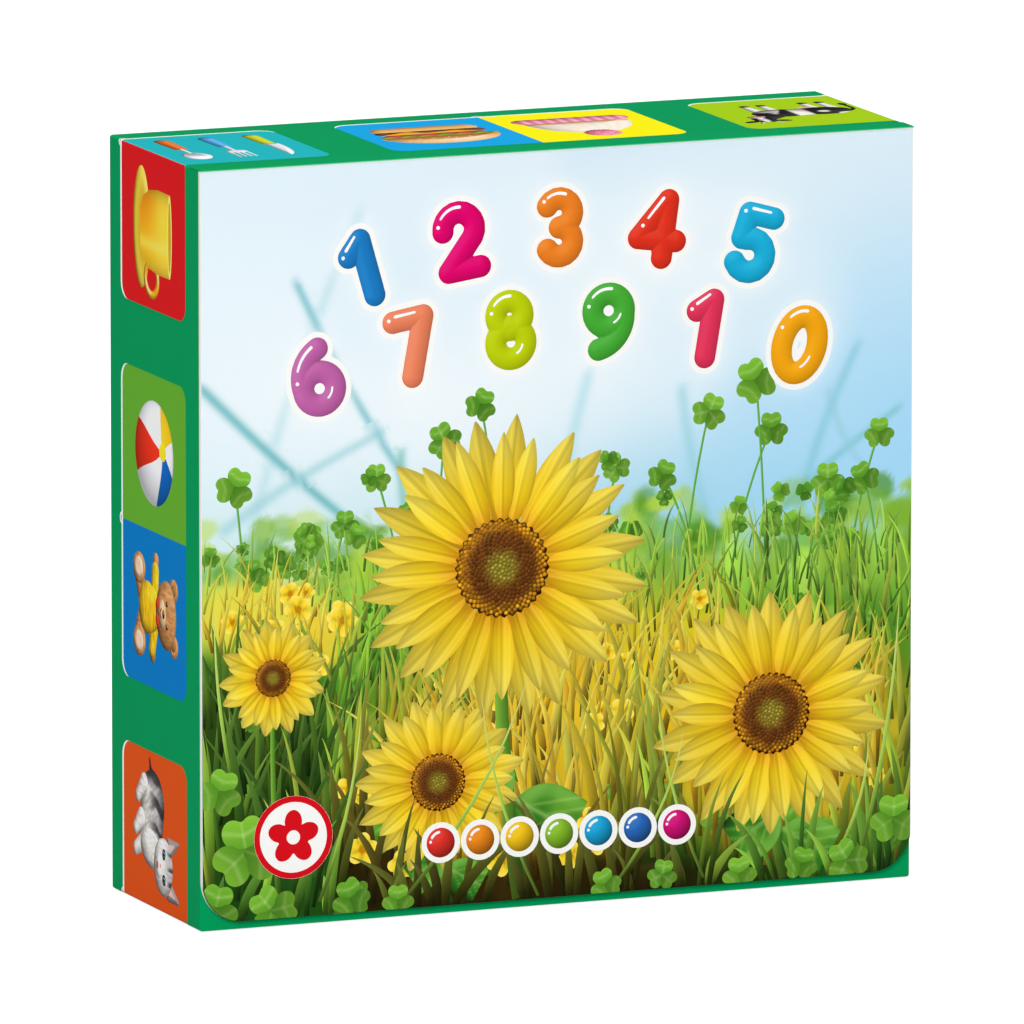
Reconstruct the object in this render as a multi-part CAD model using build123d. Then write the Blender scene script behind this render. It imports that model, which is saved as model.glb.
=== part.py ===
from build123d import *

import math
import os

# Boxed set of board books, in millimetres.
#
# A folded card tray with a low front lip stands upright. A thin card flap hangs over its
# open front from a paper hinge along the top front edge. Eight thick little board books
# fill the tray, four in front of four. The print on the tray, the flap and the books is
# an ink film let in flush with the card.
#
# Frame: the origin is on the base, in the middle of the whole box. +X is to the right of
# someone who faces the flap, +Y is to the back and +Z is up. The flap faces -Y.

# Whole box
BOX_WIDTH = 137.0
BOX_HEIGHT = 137.0
BOX_DEPTH = 45.0

# Tray
WALL = 2.0  # grey board with its printed paper
LIP_HEIGHT = 12.0  # low wall that keeps the bottom books in
FOLD_RADIUS = 0.5  # outer roundness where the board is folded
LINER = 0.15  # white paper inside the tray
LINER_INSET = 5.0  # green turn-in left bare behind the front rim

# Flap
FLAP_GAP = 0.1  # between the rim and the flap
FLAP_LINER = 0.15  # white paper on the inner face
FLAP_BOARD = 0.8
FLAP_SIDE_INSET = 0.1
FLAP_FOOT = 1.5  # green strip that stays bare below the flap
FLAP_CORNER = 7.6
HINGE_PAPER = 0.15
HINGE_PAPER_WIDTH = 4.0  # glued down on the tray
HINGE_GAP = 0.1  # between the paper and the flap's top edge

# Ink film
INK = 0.1

# Closure: magnets in the lip, steel discs in the flap
CLOSURE_SPREAD = 90.0  # between the two magnets
CLOSURE_HEIGHT = 7.0
MAGNET_RADIUS = 3.5
MAGNET_THICKNESS = 1.2
STEEL_RADIUS = 3.5
STEEL_THICKNESS = 0.4

# Board books
BOOKS_ACROSS = 2
BOOKS_UP = 2
BOOK_LAYERS = 2
BOOK_SIDE_PLAY = 0.5
BOOK_TOP_PLAY = 1.5
BOOK_LAYER_PLAY = 0.15
COVER = 1.5  # cover board
COVER_CORNER = 6.0
SPINE_ROUND = 1.2
CREASE_OFFSET = 6.0  # from the spine to the crease that the cover opens at
CREASE_WIDTH = 1.2
CREASE_DEPTH = 0.35
LEAVES = 8
LEAF_GAP = 0.14  # dark line between two leaves
LEAF_GAP_DEPTH = 0.6
LABEL_SIZE = 46.0  # white picture field on a book's front
LABEL_CORNER = 4.0
LABEL_PICTURE = 36.0

# Open pages printed round the tray's four sides
PAGE_WIDTH = 28.4
PAGE_HEIGHT = 31.5
PAGE_CORNER = 3.0
PAGE_EDGE = 0.7  # white board edge below each page
SPINE_BUMP = 1.2
PAGE_PICTURE = 22.0

# Front print
DIGIT_HEIGHT = 14.5
DIGIT_STROKE = 0.28  # share of the digit's height
DIGIT_OUTLINE = 1.0
DIGIT_MARGIN = 14.5  # bare sky at each end of the longer row
TOP_ROW_DROP = 21.5  # from the box's top to the row's feet
TOP_ROW_RADIUS = 130.0
LOW_ROW_DROP = 39.0
LOW_ROW_RADIUS = 160.0
FAR_GRASS_Z = 60.0
NEAR_GRASS_Z = 26.0
BLADE_HEIGHT = 14.0
BLADE_WIDTH = 2.2
BLADE_PITCH = 3.4
STEM_WIDTH = 2.2
# Place across as a share of the box's width, height above the base, radius and petals
FLOWERS = [
    (-0.4, 45.0, 11.0, 13),
    (-0.17, 24.0, 17.0, 15),
    (0.3, 32.0, 24.0, 18),
    (-0.08, 62.0, 29.0, 20),
]
BADGE_INSET = 17.5  # from the box's left side
BADGE_Z = 16.0
BADGE_RADIUS = 7.5
BADGE_LINE = 0.9
BADGE_LINE_INSET = 0.3
BEADS = 7
BEAD_Z = 13.0
BEAD_PITCH = 7.6
BEAD_RADIUS = 2.7

# What follows from the sizes above
FLAP_THICKNESS = FLAP_BOARD + FLAP_LINER
X_SIDE = BOX_WIDTH / 2
Y_FRONT = -BOX_DEPTH / 2
Y_BACK = BOX_DEPTH / 2
Y_RIM = Y_FRONT + FLAP_THICKNESS + FLAP_GAP
Z_FLAP_TOP = BOX_HEIGHT - HINGE_PAPER - HINGE_GAP
ROOM_X = X_SIDE - WALL
ROOM_Y0 = Y_RIM + WALL
ROOM_Y1 = Y_BACK - WALL
ROOM_Z0 = WALL
ROOM_Z1 = BOX_HEIGHT - WALL
Y_BAND = (Y_RIM + Y_BACK) / 2  # middle of the printed band on the four sides
BOOK_WIDTH = (2 * (ROOM_X - LINER) - (BOOKS_ACROSS + 1) * BOOK_SIDE_PLAY) / BOOKS_ACROSS
BOOK_HEIGHT = (ROOM_Z1 - ROOM_Z0 - 2 * LINER - BOOK_TOP_PLAY) / BOOKS_UP
BOOK_THICKNESS = (
    ROOM_Y1 - ROOM_Y0 - 2 * LINER - (BOOK_LAYERS + 1) * BOOK_LAYER_PLAY
) / BOOK_LAYERS

nodes = {}


def keep(name, *shapes):
    """Adds the solids of some shapes to the node of that name."""
    for shape in shapes:
        nodes.setdefault(name, []).extend(shape.solids())


def block(x0, x1, y0, y1, z0, z1):
    """A box between two corners."""
    middle = Pos((x0 + x1) / 2, (y0 + y1) / 2, (z0 + z1) / 2)
    return middle * Box(x1 - x0, y1 - y0, z1 - z0)


# Flat shapes


def at(x, y, shape, turn=0):
    return Pos(x, y) * Rot(0, 0, turn) * shape


def stroke(x0, y0, x1, y1, width):
    """A straight line with round ends."""
    length = math.hypot(x1 - x0, y1 - y0)
    turn = math.degrees(math.atan2(y1 - y0, x1 - x0))
    return at((x0 + x1) / 2, (y0 + y1) / 2, SlotCenterToCenter(length, width), turn)


def disc(x, y, radius):
    return at(x, y, Circle(radius))


def oval(x, y, across, up, turn=0):
    return at(x, y, Ellipse(across / 2, up / 2), turn)


def ring(x, y, radius, width):
    """A round line. A wide one on a small radius has no hole."""
    whole = disc(x, y, radius + width / 2)
    return whole - disc(x, y, radius - width / 2) if radius > width / 2 else whole


def sector(x, y, radius, start, sweep):
    """A pie slice, from the angle start over the angle sweep."""
    steps = max(2, math.ceil(sweep / 45))
    reach = radius / math.cos(math.radians(sweep / steps / 2))
    corners = [(x, y)]
    for k in range(steps + 1):
        a = math.radians(start + sweep * k / steps)
        corners.append((x + reach * math.cos(a), y + reach * math.sin(a)))
    return Polygon(*corners, align=None) & disc(x, y, radius)


def bow(x, y, radius, start, sweep, width):
    """A part of a ring with round ends."""
    shape = ring(x, y, radius, width) & sector(x, y, 2 * radius, start, sweep)
    for angle in (start, start + sweep):
        a = math.radians(angle)
        shape += disc(x + radius * math.cos(a), y + radius * math.sin(a), width / 2)
    return shape


def field(x0, x1, y0, y1):
    return at((x0 + x1) / 2, (y0 + y1) / 2, Rectangle(x1 - x0, y1 - y0))


def panel(x, y, width, height, corner):
    return at(x, y, RectangleRounded(width, height, corner))


def outline(*corners):
    return Polygon(*corners, align=None)


def star(radius, points, inner):
    corners = []
    for k in range(2 * points):
        reach = radius if k % 2 == 0 else radius * inner
        a = math.pi / 2 + k * math.pi / points
        corners.append((reach * math.cos(a), reach * math.sin(a)))
    return outline(*corners)


def petals(radius, count, inner, fullness=1.15):
    """A ring of ovals that reach from inner to radius."""
    shape = Sketch()
    middle = (radius + inner) / 2
    width = fullness * 2 * math.pi * middle / count
    for k in range(count):
        a = 360 * k / count
        shape += Rot(0, 0, a) * oval(middle, 0, radius - inner, width)
    return shape


# Pictures in a field one unit wide, as colours and shapes from the bottom one up


def cup():
    bowl = oval(0.0, 0.26, 0.72, 1.14) & field(-0.5, 0.5, -0.5, 0.26)
    return [
        ("yellow", oval(0.0, -0.36, 0.96, 0.2)),
        ("orange", oval(0.0, -0.34, 0.56, 0.1)),
        ("yellow", ring(0.36, 0.04, 0.13, 0.08)),
        ("yellow", bowl),
        ("orange", oval(0.0, 0.26, 0.72, 0.15)),
    ]


def cutlery():
    handles = [
        (colour, stroke(x, -0.42, x, -0.05, 0.1))
        for x, colour in ((-0.32, "orange"), (0.0, "sky_blue"), (0.32, "lime"))
    ]
    spoon = field(-0.34, -0.3, -0.05, 0.2) + oval(-0.32, 0.3, 0.2, 0.32)
    fork = field(-0.03, 0.03, -0.05, 0.2) + stroke(-0.07, 0.2, 0.07, 0.2, 0.08)
    for x in (-0.08, 0.0, 0.08):
        fork += field(x - 0.02, x + 0.02, 0.2, 0.42)
    knife = oval(0.32, 0.0, 0.14, 0.92) & field(0.2, 0.5, -0.05, 0.5)
    return handles + [("white", spoon + fork + knife)]


def burger():
    return [
        ("tan", stroke(-0.32, -0.24, 0.32, -0.24, 0.22)),
        ("brown", stroke(-0.37, -0.11, 0.37, -0.11, 0.12)),
        ("red", stroke(-0.36, -0.01, 0.36, -0.01, 0.08)),
        ("lime", stroke(-0.42, 0.06, 0.42, 0.06, 0.09)),
        ("tan", oval(0, 0.1, 0.88, 0.66) & field(-0.5, 0.5, 0.1, 0.5)),
    ]


def hat():
    return [
        ("pink", oval(0, -0.14, 0.74, 0.86) & field(-0.5, 0.5, -0.14, 0.5)),
        ("white", stroke(-0.34, -0.18, 0.34, -0.18, 0.2)),
        ("white", disc(0, 0.33, 0.13)),
    ]


def cow():
    legs = Sketch()
    for x in (-0.28, -0.14, 0.1, 0.24):
        legs += stroke(x, -0.36, x, -0.08, 0.08)
    return [
        ("black", stroke(-0.42, 0.04, -0.4, -0.14, 0.05)),
        ("white", legs + stroke(-0.2, 0.02, 0.2, 0.02, 0.38)),
        ("black", oval(-0.12, 0.06, 0.3, 0.22, 20) + oval(0.16, -0.02, 0.14, 0.2)),
        ("black", oval(0.25, 0.33, 0.16, 0.08, 30) + oval(0.43, 0.33, 0.14, 0.07, -20)),
        ("white", oval(0.34, 0.2, 0.24, 0.32, 20)),
        ("pink", oval(0.38, 0.08, 0.2, 0.13, 10)),
    ]


def ball():
    layers = [("white", disc(0, 0, 0.42))]
    for k, colour in enumerate(("red", "yellow", "blue")):
        layers.append((colour, sector(0, 0, 0.42, 120 * k + 60, 60)))
    return layers + [("white", disc(0, 0, 0.08))]


def teddy():
    ears = disc(-0.19, 0.4, 0.09) + disc(0.19, 0.4, 0.09)
    arms = stroke(-0.2, -0.02, -0.38, -0.1, 0.15) + stroke(0.2, -0.02, 0.38, -0.1, 0.15)
    feet = disc(-0.2, -0.34, 0.14) + disc(0.2, -0.34, 0.14)
    return [
        ("brown", ears + arms + feet),
        ("tan", disc(-0.2, -0.34, 0.08) + disc(0.2, -0.34, 0.08)),
        ("yellow", oval(0, -0.14, 0.48, 0.46)),
        ("brown", disc(0, 0.24, 0.24)),
        ("tan", oval(0, 0.16, 0.22, 0.17)),
        ("black", disc(-0.1, 0.3, 0.03) + disc(0.1, 0.3, 0.03) + disc(0, 0.2, 0.035)),
    ]


def kitten():
    ears = outline((-0.1, 0.2), (-0.12, 0.44), (0.06, 0.34))
    ears += outline((0.38, 0.2), (0.4, 0.44), (0.22, 0.34))
    paws = stroke(0.0, -0.36, 0.12, -0.36, 0.12) + stroke(-0.28, -0.36, -0.16, -0.36, 0.12)
    return [
        ("black", bow(-0.28, -0.16, 0.15, 90, 150, 0.08)),
        ("grey", oval(-0.08, -0.16, 0.6, 0.42) + paws),
        ("white", oval(0.08, -0.2, 0.24, 0.28)),
        ("grey", ears + oval(0.14, 0.18, 0.5, 0.4)),
        ("white", oval(0.14, 0.09, 0.2, 0.13)),
        ("black", disc(0.04, 0.21, 0.035) + disc(0.24, 0.21, 0.035)),
    ]


def sun():
    return [("yellow", star(0.44, 12, 0.72)), ("orange", disc(0, 0, 0.24))]


def fish():
    body = oval(-0.08, 0, 0.66, 0.42) + outline((0.12, 0), (0.42, 0.24), (0.42, -0.24))
    return [("orange", body), ("white", disc(-0.24, 0.05, 0.07)), ("black", disc(-0.25, 0.05, 0.035))]


def car():
    wheels = disc(-0.22, -0.15, 0.11) + disc(0.22, -0.15, 0.11)
    hubs = disc(-0.22, -0.15, 0.045) + disc(0.22, -0.15, 0.045)
    return [
        ("red", panel(0, 0, 0.84, 0.26, 0.09) + panel(-0.03, 0.14, 0.46, 0.28, 0.1)),
        ("white", panel(-0.03, 0.17, 0.32, 0.14, 0.05)),
        ("black", wheels),
        ("white", hubs),
    ]


def house():
    return [
        ("white", field(-0.3, 0.3, -0.38, 0.08)),
        ("red", outline((-0.42, 0.06), (0.42, 0.06), (0, 0.42))),
        ("blue", field(-0.04, 0.14, -0.38, -0.1)),
        ("yellow", field(-0.22, -0.1, -0.16, -0.02)),
    ]


def tree():
    crown = disc(0, 0.22, 0.2) + disc(-0.18, 0.04, 0.18) + disc(0.18, 0.04, 0.18)
    fruit = disc(-0.16, 0.06, 0.045) + disc(0.13, 0.0, 0.045) + disc(0.04, 0.25, 0.045)
    return [("brown", stroke(0, -0.36, 0, 0, 0.12)), ("leaf_green", crown), ("red", fruit)]


def apple():
    return [
        ("brown", stroke(0, 0.2, 0.04, 0.36, 0.05)),
        ("red", oval(-0.11, -0.06, 0.44, 0.6) + oval(0.11, -0.06, 0.44, 0.6)),
        ("leaf_green", oval(0.16, 0.33, 0.24, 0.12, 25)),
    ]


def boat():
    hull = oval(0, -0.1, 0.84, 0.56) & field(-0.5, 0.5, -0.5, -0.1)
    return [
        ("brown", hull + field(-0.02, 0.02, -0.12, 0.42)),
        ("white", outline((0.05, -0.02), (0.36, -0.02), (0.05, 0.38))),
        ("red", outline((-0.05, -0.02), (-0.05, 0.3), (-0.28, -0.02))),
    ]


def flower():
    return [("pink", petals(0.42, 6, 0.08, 1.0)), ("yellow", disc(0, 0, 0.15))]


# Ink films


def flatten(layers):
    """What stays in sight of each layer, for layers from the bottom one up."""
    seen = []
    above = None
    for colour, shape in reversed(layers):
        shape = Sketch() + shape
        rest = shape if above is None else shape - above
        above = shape if above is None else above + shape
        if rest.faces():
            seen.append((colour, rest))
    return seen


def placed(picture, size, x=0.0, y=0.0):
    """A picture at its size and place."""
    return [(colour, at(x, y, scale(Sketch() + shape, size))) for colour, shape in picture]


def side_planes():
    """The tray's four sides. Each plane's x runs on round the box and its y to the front."""
    z_middle = BOX_HEIGHT / 2
    front = Vector(0, -1, 0)
    sides = {
        "top": ((0, Y_BAND, BOX_HEIGHT), (0, 0, 1)),
        "left": ((-X_SIDE, Y_BAND, z_middle), (-1, 0, 0)),
        "bottom": ((0, Y_BAND, 0), (0, 0, -1)),
        "right": ((X_SIDE, Y_BAND, z_middle), (1, 0, 0)),
    }
    planes = {}
    for name, (origin, out) in sides.items():
        along = front.cross(Vector(*out))
        planes[name] = Plane(origin=origin, x_dir=along, z_dir=out)
    return planes


def fold_band(inset):
    """The box's outer surface moved in by inset, as a bar along Y."""
    profile = RectangleRounded(
        BOX_WIDTH - 2 * inset, BOX_HEIGHT - 2 * inset, FOLD_RADIUS - inset
    )
    plane = Plane(origin=(0, Y_BACK, BOX_HEIGHT / 2), x_dir=(1, 0, 0), z_dir=(0, -1, 0))
    return extrude(plane * profile, Y_BACK - Y_RIM)


def film(plane, shape, length, band):
    """An ink film on one side of the tray. At a fold it follows the bend to its middle."""
    reach = 2 * FOLD_RADIUS
    deep = extrude(plane * shape, -reach)
    half = length / 2
    mitre = outline((-half, 0), (half, 0), (half - reach, -reach), (-half + reach, -reach))
    across = Plane(origin=plane.origin, x_dir=plane.x_dir, z_dir=-plane.y_dir)
    return deep & band & extrude(across * mitre, BOX_DEPTH / 2, both=True)


SIDE_PAGES = {
    "top": [("lime", cow), ("yellow", hat), ("sky_blue", burger), ("teal", cutlery)],
    "left": [("red", cup), ("leaf_green", ball), ("blue", teddy), ("orange", kitten)],
    "bottom": [("sky_blue", sun), ("yellow", car), ("teal", boat), ("lime", flower)],
    "right": [("red", house), ("orange", tree), ("yellow", apple), ("blue", fish)],
}


def page_middles(length):
    """Where the four pages of a side lie along it: half of a folded spread at each end."""
    end = (length - PAGE_WIDTH) / 2
    return [-end, -PAGE_WIDTH / 2, PAGE_WIDTH / 2, end]


def page_shape(middle, spine_on_left):
    """A page with round corners away from the spine, and its white edge below it."""
    spine = middle - PAGE_WIDTH / 2 if spine_on_left else middle + PAGE_WIDTH / 2
    inner = -PAGE_WIDTH / 4 if spine_on_left else PAGE_WIDTH / 4
    page = panel(middle, 0, PAGE_WIDTH, PAGE_HEIGHT, PAGE_CORNER)
    page += panel(middle + inner, 0, PAGE_WIDTH / 2, PAGE_HEIGHT, 0.01)
    edge = Pos(0, -PAGE_EDGE) * page
    bump = disc(spine, -PAGE_HEIGHT / 2 - PAGE_EDGE, SPINE_BUMP)
    bump &= field(middle - PAGE_WIDTH / 2, middle + PAGE_WIDTH / 2, -PAGE_HEIGHT, 0)
    return page, edge + bump


def side_print():
    """The open pages printed round the tray. Gives the room that they take in the card."""
    band = fold_band(0) - fold_band(INK)
    pockets = []
    for side, plane in side_planes().items():
        length = BOX_WIDTH if side in ("top", "bottom") else BOX_HEIGHT
        spine_on_left = (True, False, True, False)
        for k, (colour, picture) in enumerate(SIDE_PAGES[side]):
            middle = page_middles(length)[k]
            page, edge = page_shape(middle, spine_on_left[k])
            layers = [("white", edge), (colour, page)]
            layers += placed(picture(), PAGE_PICTURE, middle)
            for ink, shape in flatten(layers):
                keep("side_print_" + ink, film(plane, shape, length, band))
            pockets.append(film(plane, Sketch() + edge + page, length, band))
    return pockets


# Tray


def tray():
    outer = fold_band(0)
    outer = fillet(outer.faces().sort_by(Axis.Y)[-1].edges(), FOLD_RADIUS)
    room = block(-ROOM_X, ROOM_X, ROOM_Y0, ROOM_Y1, ROOM_Z0, ROOM_Z1)
    mouth = block(-ROOM_X, ROOM_X, Y_RIM - 1, ROOM_Y0 + 1, LIP_HEIGHT, ROOM_Z1)
    board = outer - room - mouth
    for x in (-CLOSURE_SPREAD / 2, CLOSURE_SPREAD / 2):
        board -= magnet(x)
    board -= hinge_paper()
    for pocket in side_print():
        board -= pocket
    keep("tray", board)


def magnet(x):
    """A disc let into the back of the lip, under the lining paper."""
    face = Plane(origin=(x, ROOM_Y0, CLOSURE_HEIGHT), x_dir=(1, 0, 0), z_dir=(0, -1, 0))
    return extrude(face * Circle(MAGNET_RADIUS), MAGNET_THICKNESS)


def hinge_paper():
    """The strip that carries the flap: glued on the tray and folded over the flap's edge."""
    strip = block(
        -X_SIDE, X_SIDE, Y_FRONT, Y_RIM + HINGE_PAPER_WIDTH, BOX_HEIGHT - HINGE_PAPER, BOX_HEIGHT
    )
    ends = [edge for edge in strip.edges().filter_by(Axis.Y) if edge.center().Z > BOX_HEIGHT - 0.01]
    return fillet(ends, 0.9 * HINGE_PAPER)


def tray_liner():
    """White paper on the floor, walls, back and lip, glued to the board."""
    inner_x = ROOM_X - LINER
    walls_y0 = ROOM_Y0 + LINER_INSET
    walls = block(-ROOM_X, ROOM_X, walls_y0, ROOM_Y1, ROOM_Z0, ROOM_Z1)
    walls -= block(
        -inner_x, inner_x, walls_y0 - 1, ROOM_Y1 - LINER, ROOM_Z0 + LINER, ROOM_Z1 - LINER
    )
    floor = block(-ROOM_X, ROOM_X, ROOM_Y0, ROOM_Y1, ROOM_Z0, ROOM_Z0 + LINER)
    lip = block(-ROOM_X, ROOM_X, ROOM_Y0, ROOM_Y0 + LINER, ROOM_Z0, LIP_HEIGHT - LINER)
    keep("tray_liner", walls + floor + lip)


# Flap


def flap_outline():
    """The flap seen from the front, in X and Z."""
    half = X_SIDE - FLAP_SIDE_INSET
    shape = field(-half, half, FLAP_FOOT, Z_FLAP_TOP)
    low = [v for v in shape.vertices() if v.Y < FLAP_FOOT + 0.01]
    return fillet(low, FLAP_CORNER)


def front_plane(y):
    return Plane(origin=(0, y, 0), x_dir=(1, 0, 0), z_dir=(0, -1, 0))


def steel_disc(x):
    face = Plane(
        origin=(x, Y_FRONT + FLAP_BOARD, CLOSURE_HEIGHT), x_dir=(1, 0, 0), z_dir=(0, -1, 0)
    )
    return extrude(face * Circle(STEEL_RADIUS), STEEL_THICKNESS)


def digit(number, width):
    """A round-ended digit one unit high, on its middle line."""
    shapes = {
        0: lambda: oval(0, 0.5, 0.46 + width, 0.72 + width)
        - oval(0, 0.5, 0.46 - width, 0.72 - width),
        1: lambda: stroke(0.06, 0.14, 0.06, 0.86, width) + stroke(0.06, 0.86, -0.14, 0.7, width),
        2: lambda: bow(0, 0.65, 0.21, -35, 215, width)
        + stroke(0.17, 0.53, -0.2, 0.14, width)
        + stroke(-0.2, 0.14, 0.22, 0.14, width),
        3: lambda: bow(0, 0.68, 0.18, -90, 240, width) + bow(0, 0.32, 0.18, -150, 240, width),
        4: lambda: stroke(0.1, 0.14, 0.1, 0.86, width)
        + stroke(0.1, 0.86, -0.24, 0.36, width)
        + stroke(-0.24, 0.36, 0.26, 0.36, width),
        5: lambda: stroke(0.18, 0.86, -0.16, 0.86, width)
        + stroke(-0.16, 0.86, -0.18, 0.54, width)
        + bow(-0.02, 0.35, 0.21, -145, 265, width),
        6: lambda: ring(0, 0.35, 0.21, width) + bow(0.22, 0.42, 0.43, 105, 75, width),
        7: lambda: stroke(-0.2, 0.86, 0.2, 0.86, width) + stroke(0.2, 0.86, -0.06, 0.14, width),
        8: lambda: ring(0, 0.67, 0.18, width) + ring(0, 0.33, 0.2, width),
        9: lambda: Pos(0, 1) * Rot(0, 0, 180) * digit(6, width),
    }
    return shapes[number]()


def digit_shine(number):
    """A thin white light on the upper left of a digit."""
    line = Pos(-0.05, 0.06) * (Sketch() + digit(number, 0.06))
    return line & disc(-0.12, 0.84, 0.17)


TOP_ROW = [(1, "blue"), (2, "magenta"), (3, "orange"), (4, "red"), (5, "sky_blue")]
LOW_ROW = [(6, "purple"), (7, "orange"), (8, "lime"), (9, "near_grass"), (1, "red"), (0, "yellow")]


def digit_row(row, z, radius):
    """Digits on an arch, as layers: outlines first, then the digits and their lights."""
    wide = DIGIT_STROKE + 2 * DIGIT_OUTLINE / DIGIT_HEIGHT
    pitch = (BOX_WIDTH - 2 * DIGIT_MARGIN) / len(LOW_ROW)
    outlines, fills, lights = [], [], []
    for k, (number, ink) in enumerate(row):
        turn = -math.degrees((k - (len(row) - 1) / 2) * pitch / radius)
        place = Pos(0, z - radius) * Rot(0, 0, turn) * Pos(0, radius)
        for layer, colour, shape in (
            (outlines, "white", digit(number, wide)),
            (fills, ink, digit(number, DIGIT_STROKE)),
            (lights, "white", digit_shine(number)),
        ):
            layer.append((colour, place * scale(Sketch() + shape, DIGIT_HEIGHT)))
    return outlines, fills, lights


def grass(top, height, pitch, lean):
    """A field of grass up to the height top, with a row of blades along its upper edge."""
    shape = field(-X_SIDE, X_SIDE, 0, top)
    count = int(BOX_WIDTH / pitch)
    for k in range(count):
        x = -X_SIDE + (k + 0.5) * pitch
        tip = x + lean * math.sin(2.4 * k)
        rise = height * (0.65 + 0.35 * math.sin(1.7 * k))
        half = BLADE_WIDTH / 2
        shape += outline((x - half, top - 1), (x + half, top - 1), (tip, top + rise))
    return shape


def blossom(x, z, radius, count):
    """A yellow daisy-like flower with a seed head."""
    back = Rot(0, 0, 180 / count) * petals(radius, count, radius * 0.2)
    front = petals(radius * 0.86, count, radius * 0.2)
    return [
        ("gold", at(x, z, back)),
        ("yellow", at(x, z, front)),
        ("brown", disc(x, z, radius * 0.34)),
    ]


def front_print():
    """The front's layers from the sky up: meadow, flowers, two rows of digits, badge, beads."""
    layers = [("sky", flap_outline())]
    layers.append(("far_grass", grass(FAR_GRASS_Z, BLADE_HEIGHT, BLADE_PITCH, 3.0)))
    flowers = [(share * BOX_WIDTH, z, radius, count) for share, z, radius, count in FLOWERS]
    for x, z, radius, count in flowers:
        layers.append(("near_grass", stroke(x, FLAP_FOOT, x, z, STEM_WIDTH)))
    for place in flowers:
        layers += blossom(*place)
    layers.append(("near_grass", grass(NEAR_GRASS_Z, BLADE_HEIGHT, BLADE_PITCH, -3.0)))
    rows = [
        digit_row(TOP_ROW, BOX_HEIGHT - TOP_ROW_DROP, TOP_ROW_RADIUS),
        digit_row(LOW_ROW, BOX_HEIGHT - LOW_ROW_DROP, LOW_ROW_RADIUS),
    ]
    for part in range(3):
        for row in rows:
            layers += row[part]
    x = -X_SIDE + BADGE_INSET
    badge_line = ring(x, BADGE_Z, BADGE_RADIUS - BADGE_LINE_INSET - BADGE_LINE / 2, BADGE_LINE)
    badge_petals = petals(BADGE_RADIUS * 0.66, 5, BADGE_RADIUS * 0.1, 0.95)
    layers.append(("white", disc(x, BADGE_Z, BADGE_RADIUS)))
    layers.append(("red", badge_line))
    layers.append(("red", at(x, BADGE_Z, badge_petals)))
    layers.append(("white", disc(x, BADGE_Z, BADGE_RADIUS * 0.2)))
    bead_inks = ("red", "orange", "yellow", "lime", "sky_blue", "blue", "magenta")
    for k in range(BEADS):
        bead_x = (k - (BEADS - 1) / 2) * BEAD_PITCH
        layers.append(("white", disc(bead_x, BEAD_Z, BEAD_RADIUS + DIGIT_OUTLINE)))
        layers.append((bead_inks[k % len(bead_inks)], disc(bead_x, BEAD_Z, BEAD_RADIUS)))
    edge = flap_outline()
    return [(ink, (Sketch() + shape) & edge) for ink, shape in layers]


def flap():
    plane = front_plane(Y_FRONT)
    board = extrude(plane * flap_outline(), -FLAP_BOARD)
    board -= extrude(plane * flap_outline(), -INK)
    for x in (-CLOSURE_SPREAD / 2, CLOSURE_SPREAD / 2):
        disc_solid = steel_disc(x)
        board -= disc_solid
        keep("flap_steel_discs", disc_solid)
    keep("flap_board", board)
    for ink, shape in flatten(front_print()):
        keep("front_print_" + ink, extrude(plane * shape, -INK))
    inner = front_plane(Y_FRONT + FLAP_BOARD)
    keep("flap_liner", extrude(inner * flap_outline(), -FLAP_LINER))


# Board books

BOOK_PICTURES = [cup, ball, sun, fish, boat, house, apple, car]


def book_outline(inset=0.0):
    """A book seen from its front, with its two fore-edge corners round."""
    shape = field(inset, BOOK_WIDTH - inset, inset, BOOK_HEIGHT - inset)
    outer = [v for v in shape.vertices() if v.X > BOOK_WIDTH / 2]
    return fillet(outer, COVER_CORNER - inset)


def book(picture, place):
    """A cover board folded round a block of thick leaves. place is its lower left front."""
    plane = Plane(origin=place, x_dir=(1, 0, 0), z_dir=(0, -1, 0))
    whole = extrude(plane * book_outline(), -BOOK_THICKNESS)
    spine = [
        e
        for e in whole.edges().filter_by(Axis.Z)
        if abs(e.center().X - place[0]) < 0.01
    ]
    whole = fillet(spine, SPINE_ROUND)
    inside = block(
        place[0] + COVER,
        place[0] + BOOK_WIDTH + 1,
        place[1] + COVER,
        place[1] + BOOK_THICKNESS - COVER,
        place[2] - 1,
        place[2] + BOOK_HEIGHT + 1,
    )
    cover = whole - inside
    for y in (place[1], place[1] + BOOK_THICKNESS):
        rod = Cylinder(CREASE_WIDTH / 2, BOOK_HEIGHT + 2)
        flat = scale(rod, by=(1, 2 * CREASE_DEPTH / CREASE_WIDTH, 1))
        cover -= Pos(place[0] + CREASE_OFFSET, y, place[2] + BOOK_HEIGHT / 2) * flat
    pages = whole & inside
    leaf = (BOOK_THICKNESS - 2 * COVER) / LEAVES
    glued = field(-1, BOOK_WIDTH / 2, LEAF_GAP_DEPTH, BOOK_HEIGHT - LEAF_GAP_DEPTH)
    rim = book_outline() - book_outline(LEAF_GAP_DEPTH) - glued
    for k in range(1, LEAVES):
        depth = COVER + k * leaf - LEAF_GAP / 2
        pages -= extrude(plane.offset(-depth) * rim, -LEAF_GAP)
    label = [("white", panel(0, 0, LABEL_SIZE, LABEL_SIZE, LABEL_CORNER))]
    label += placed(picture(), LABEL_PICTURE)
    middle = Pos(CREASE_OFFSET / 2 + BOOK_WIDTH / 2, BOOK_HEIGHT / 2)
    cover -= extrude(plane * (middle * label[0][1]), -INK)
    for ink, shape in flatten(label):
        keep("book_print_" + ink, extrude(plane * (middle * shape), -INK))
    keep(picture.__name__ + "_book_cover", cover)
    keep(picture.__name__ + "_book_pages", pages)


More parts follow.
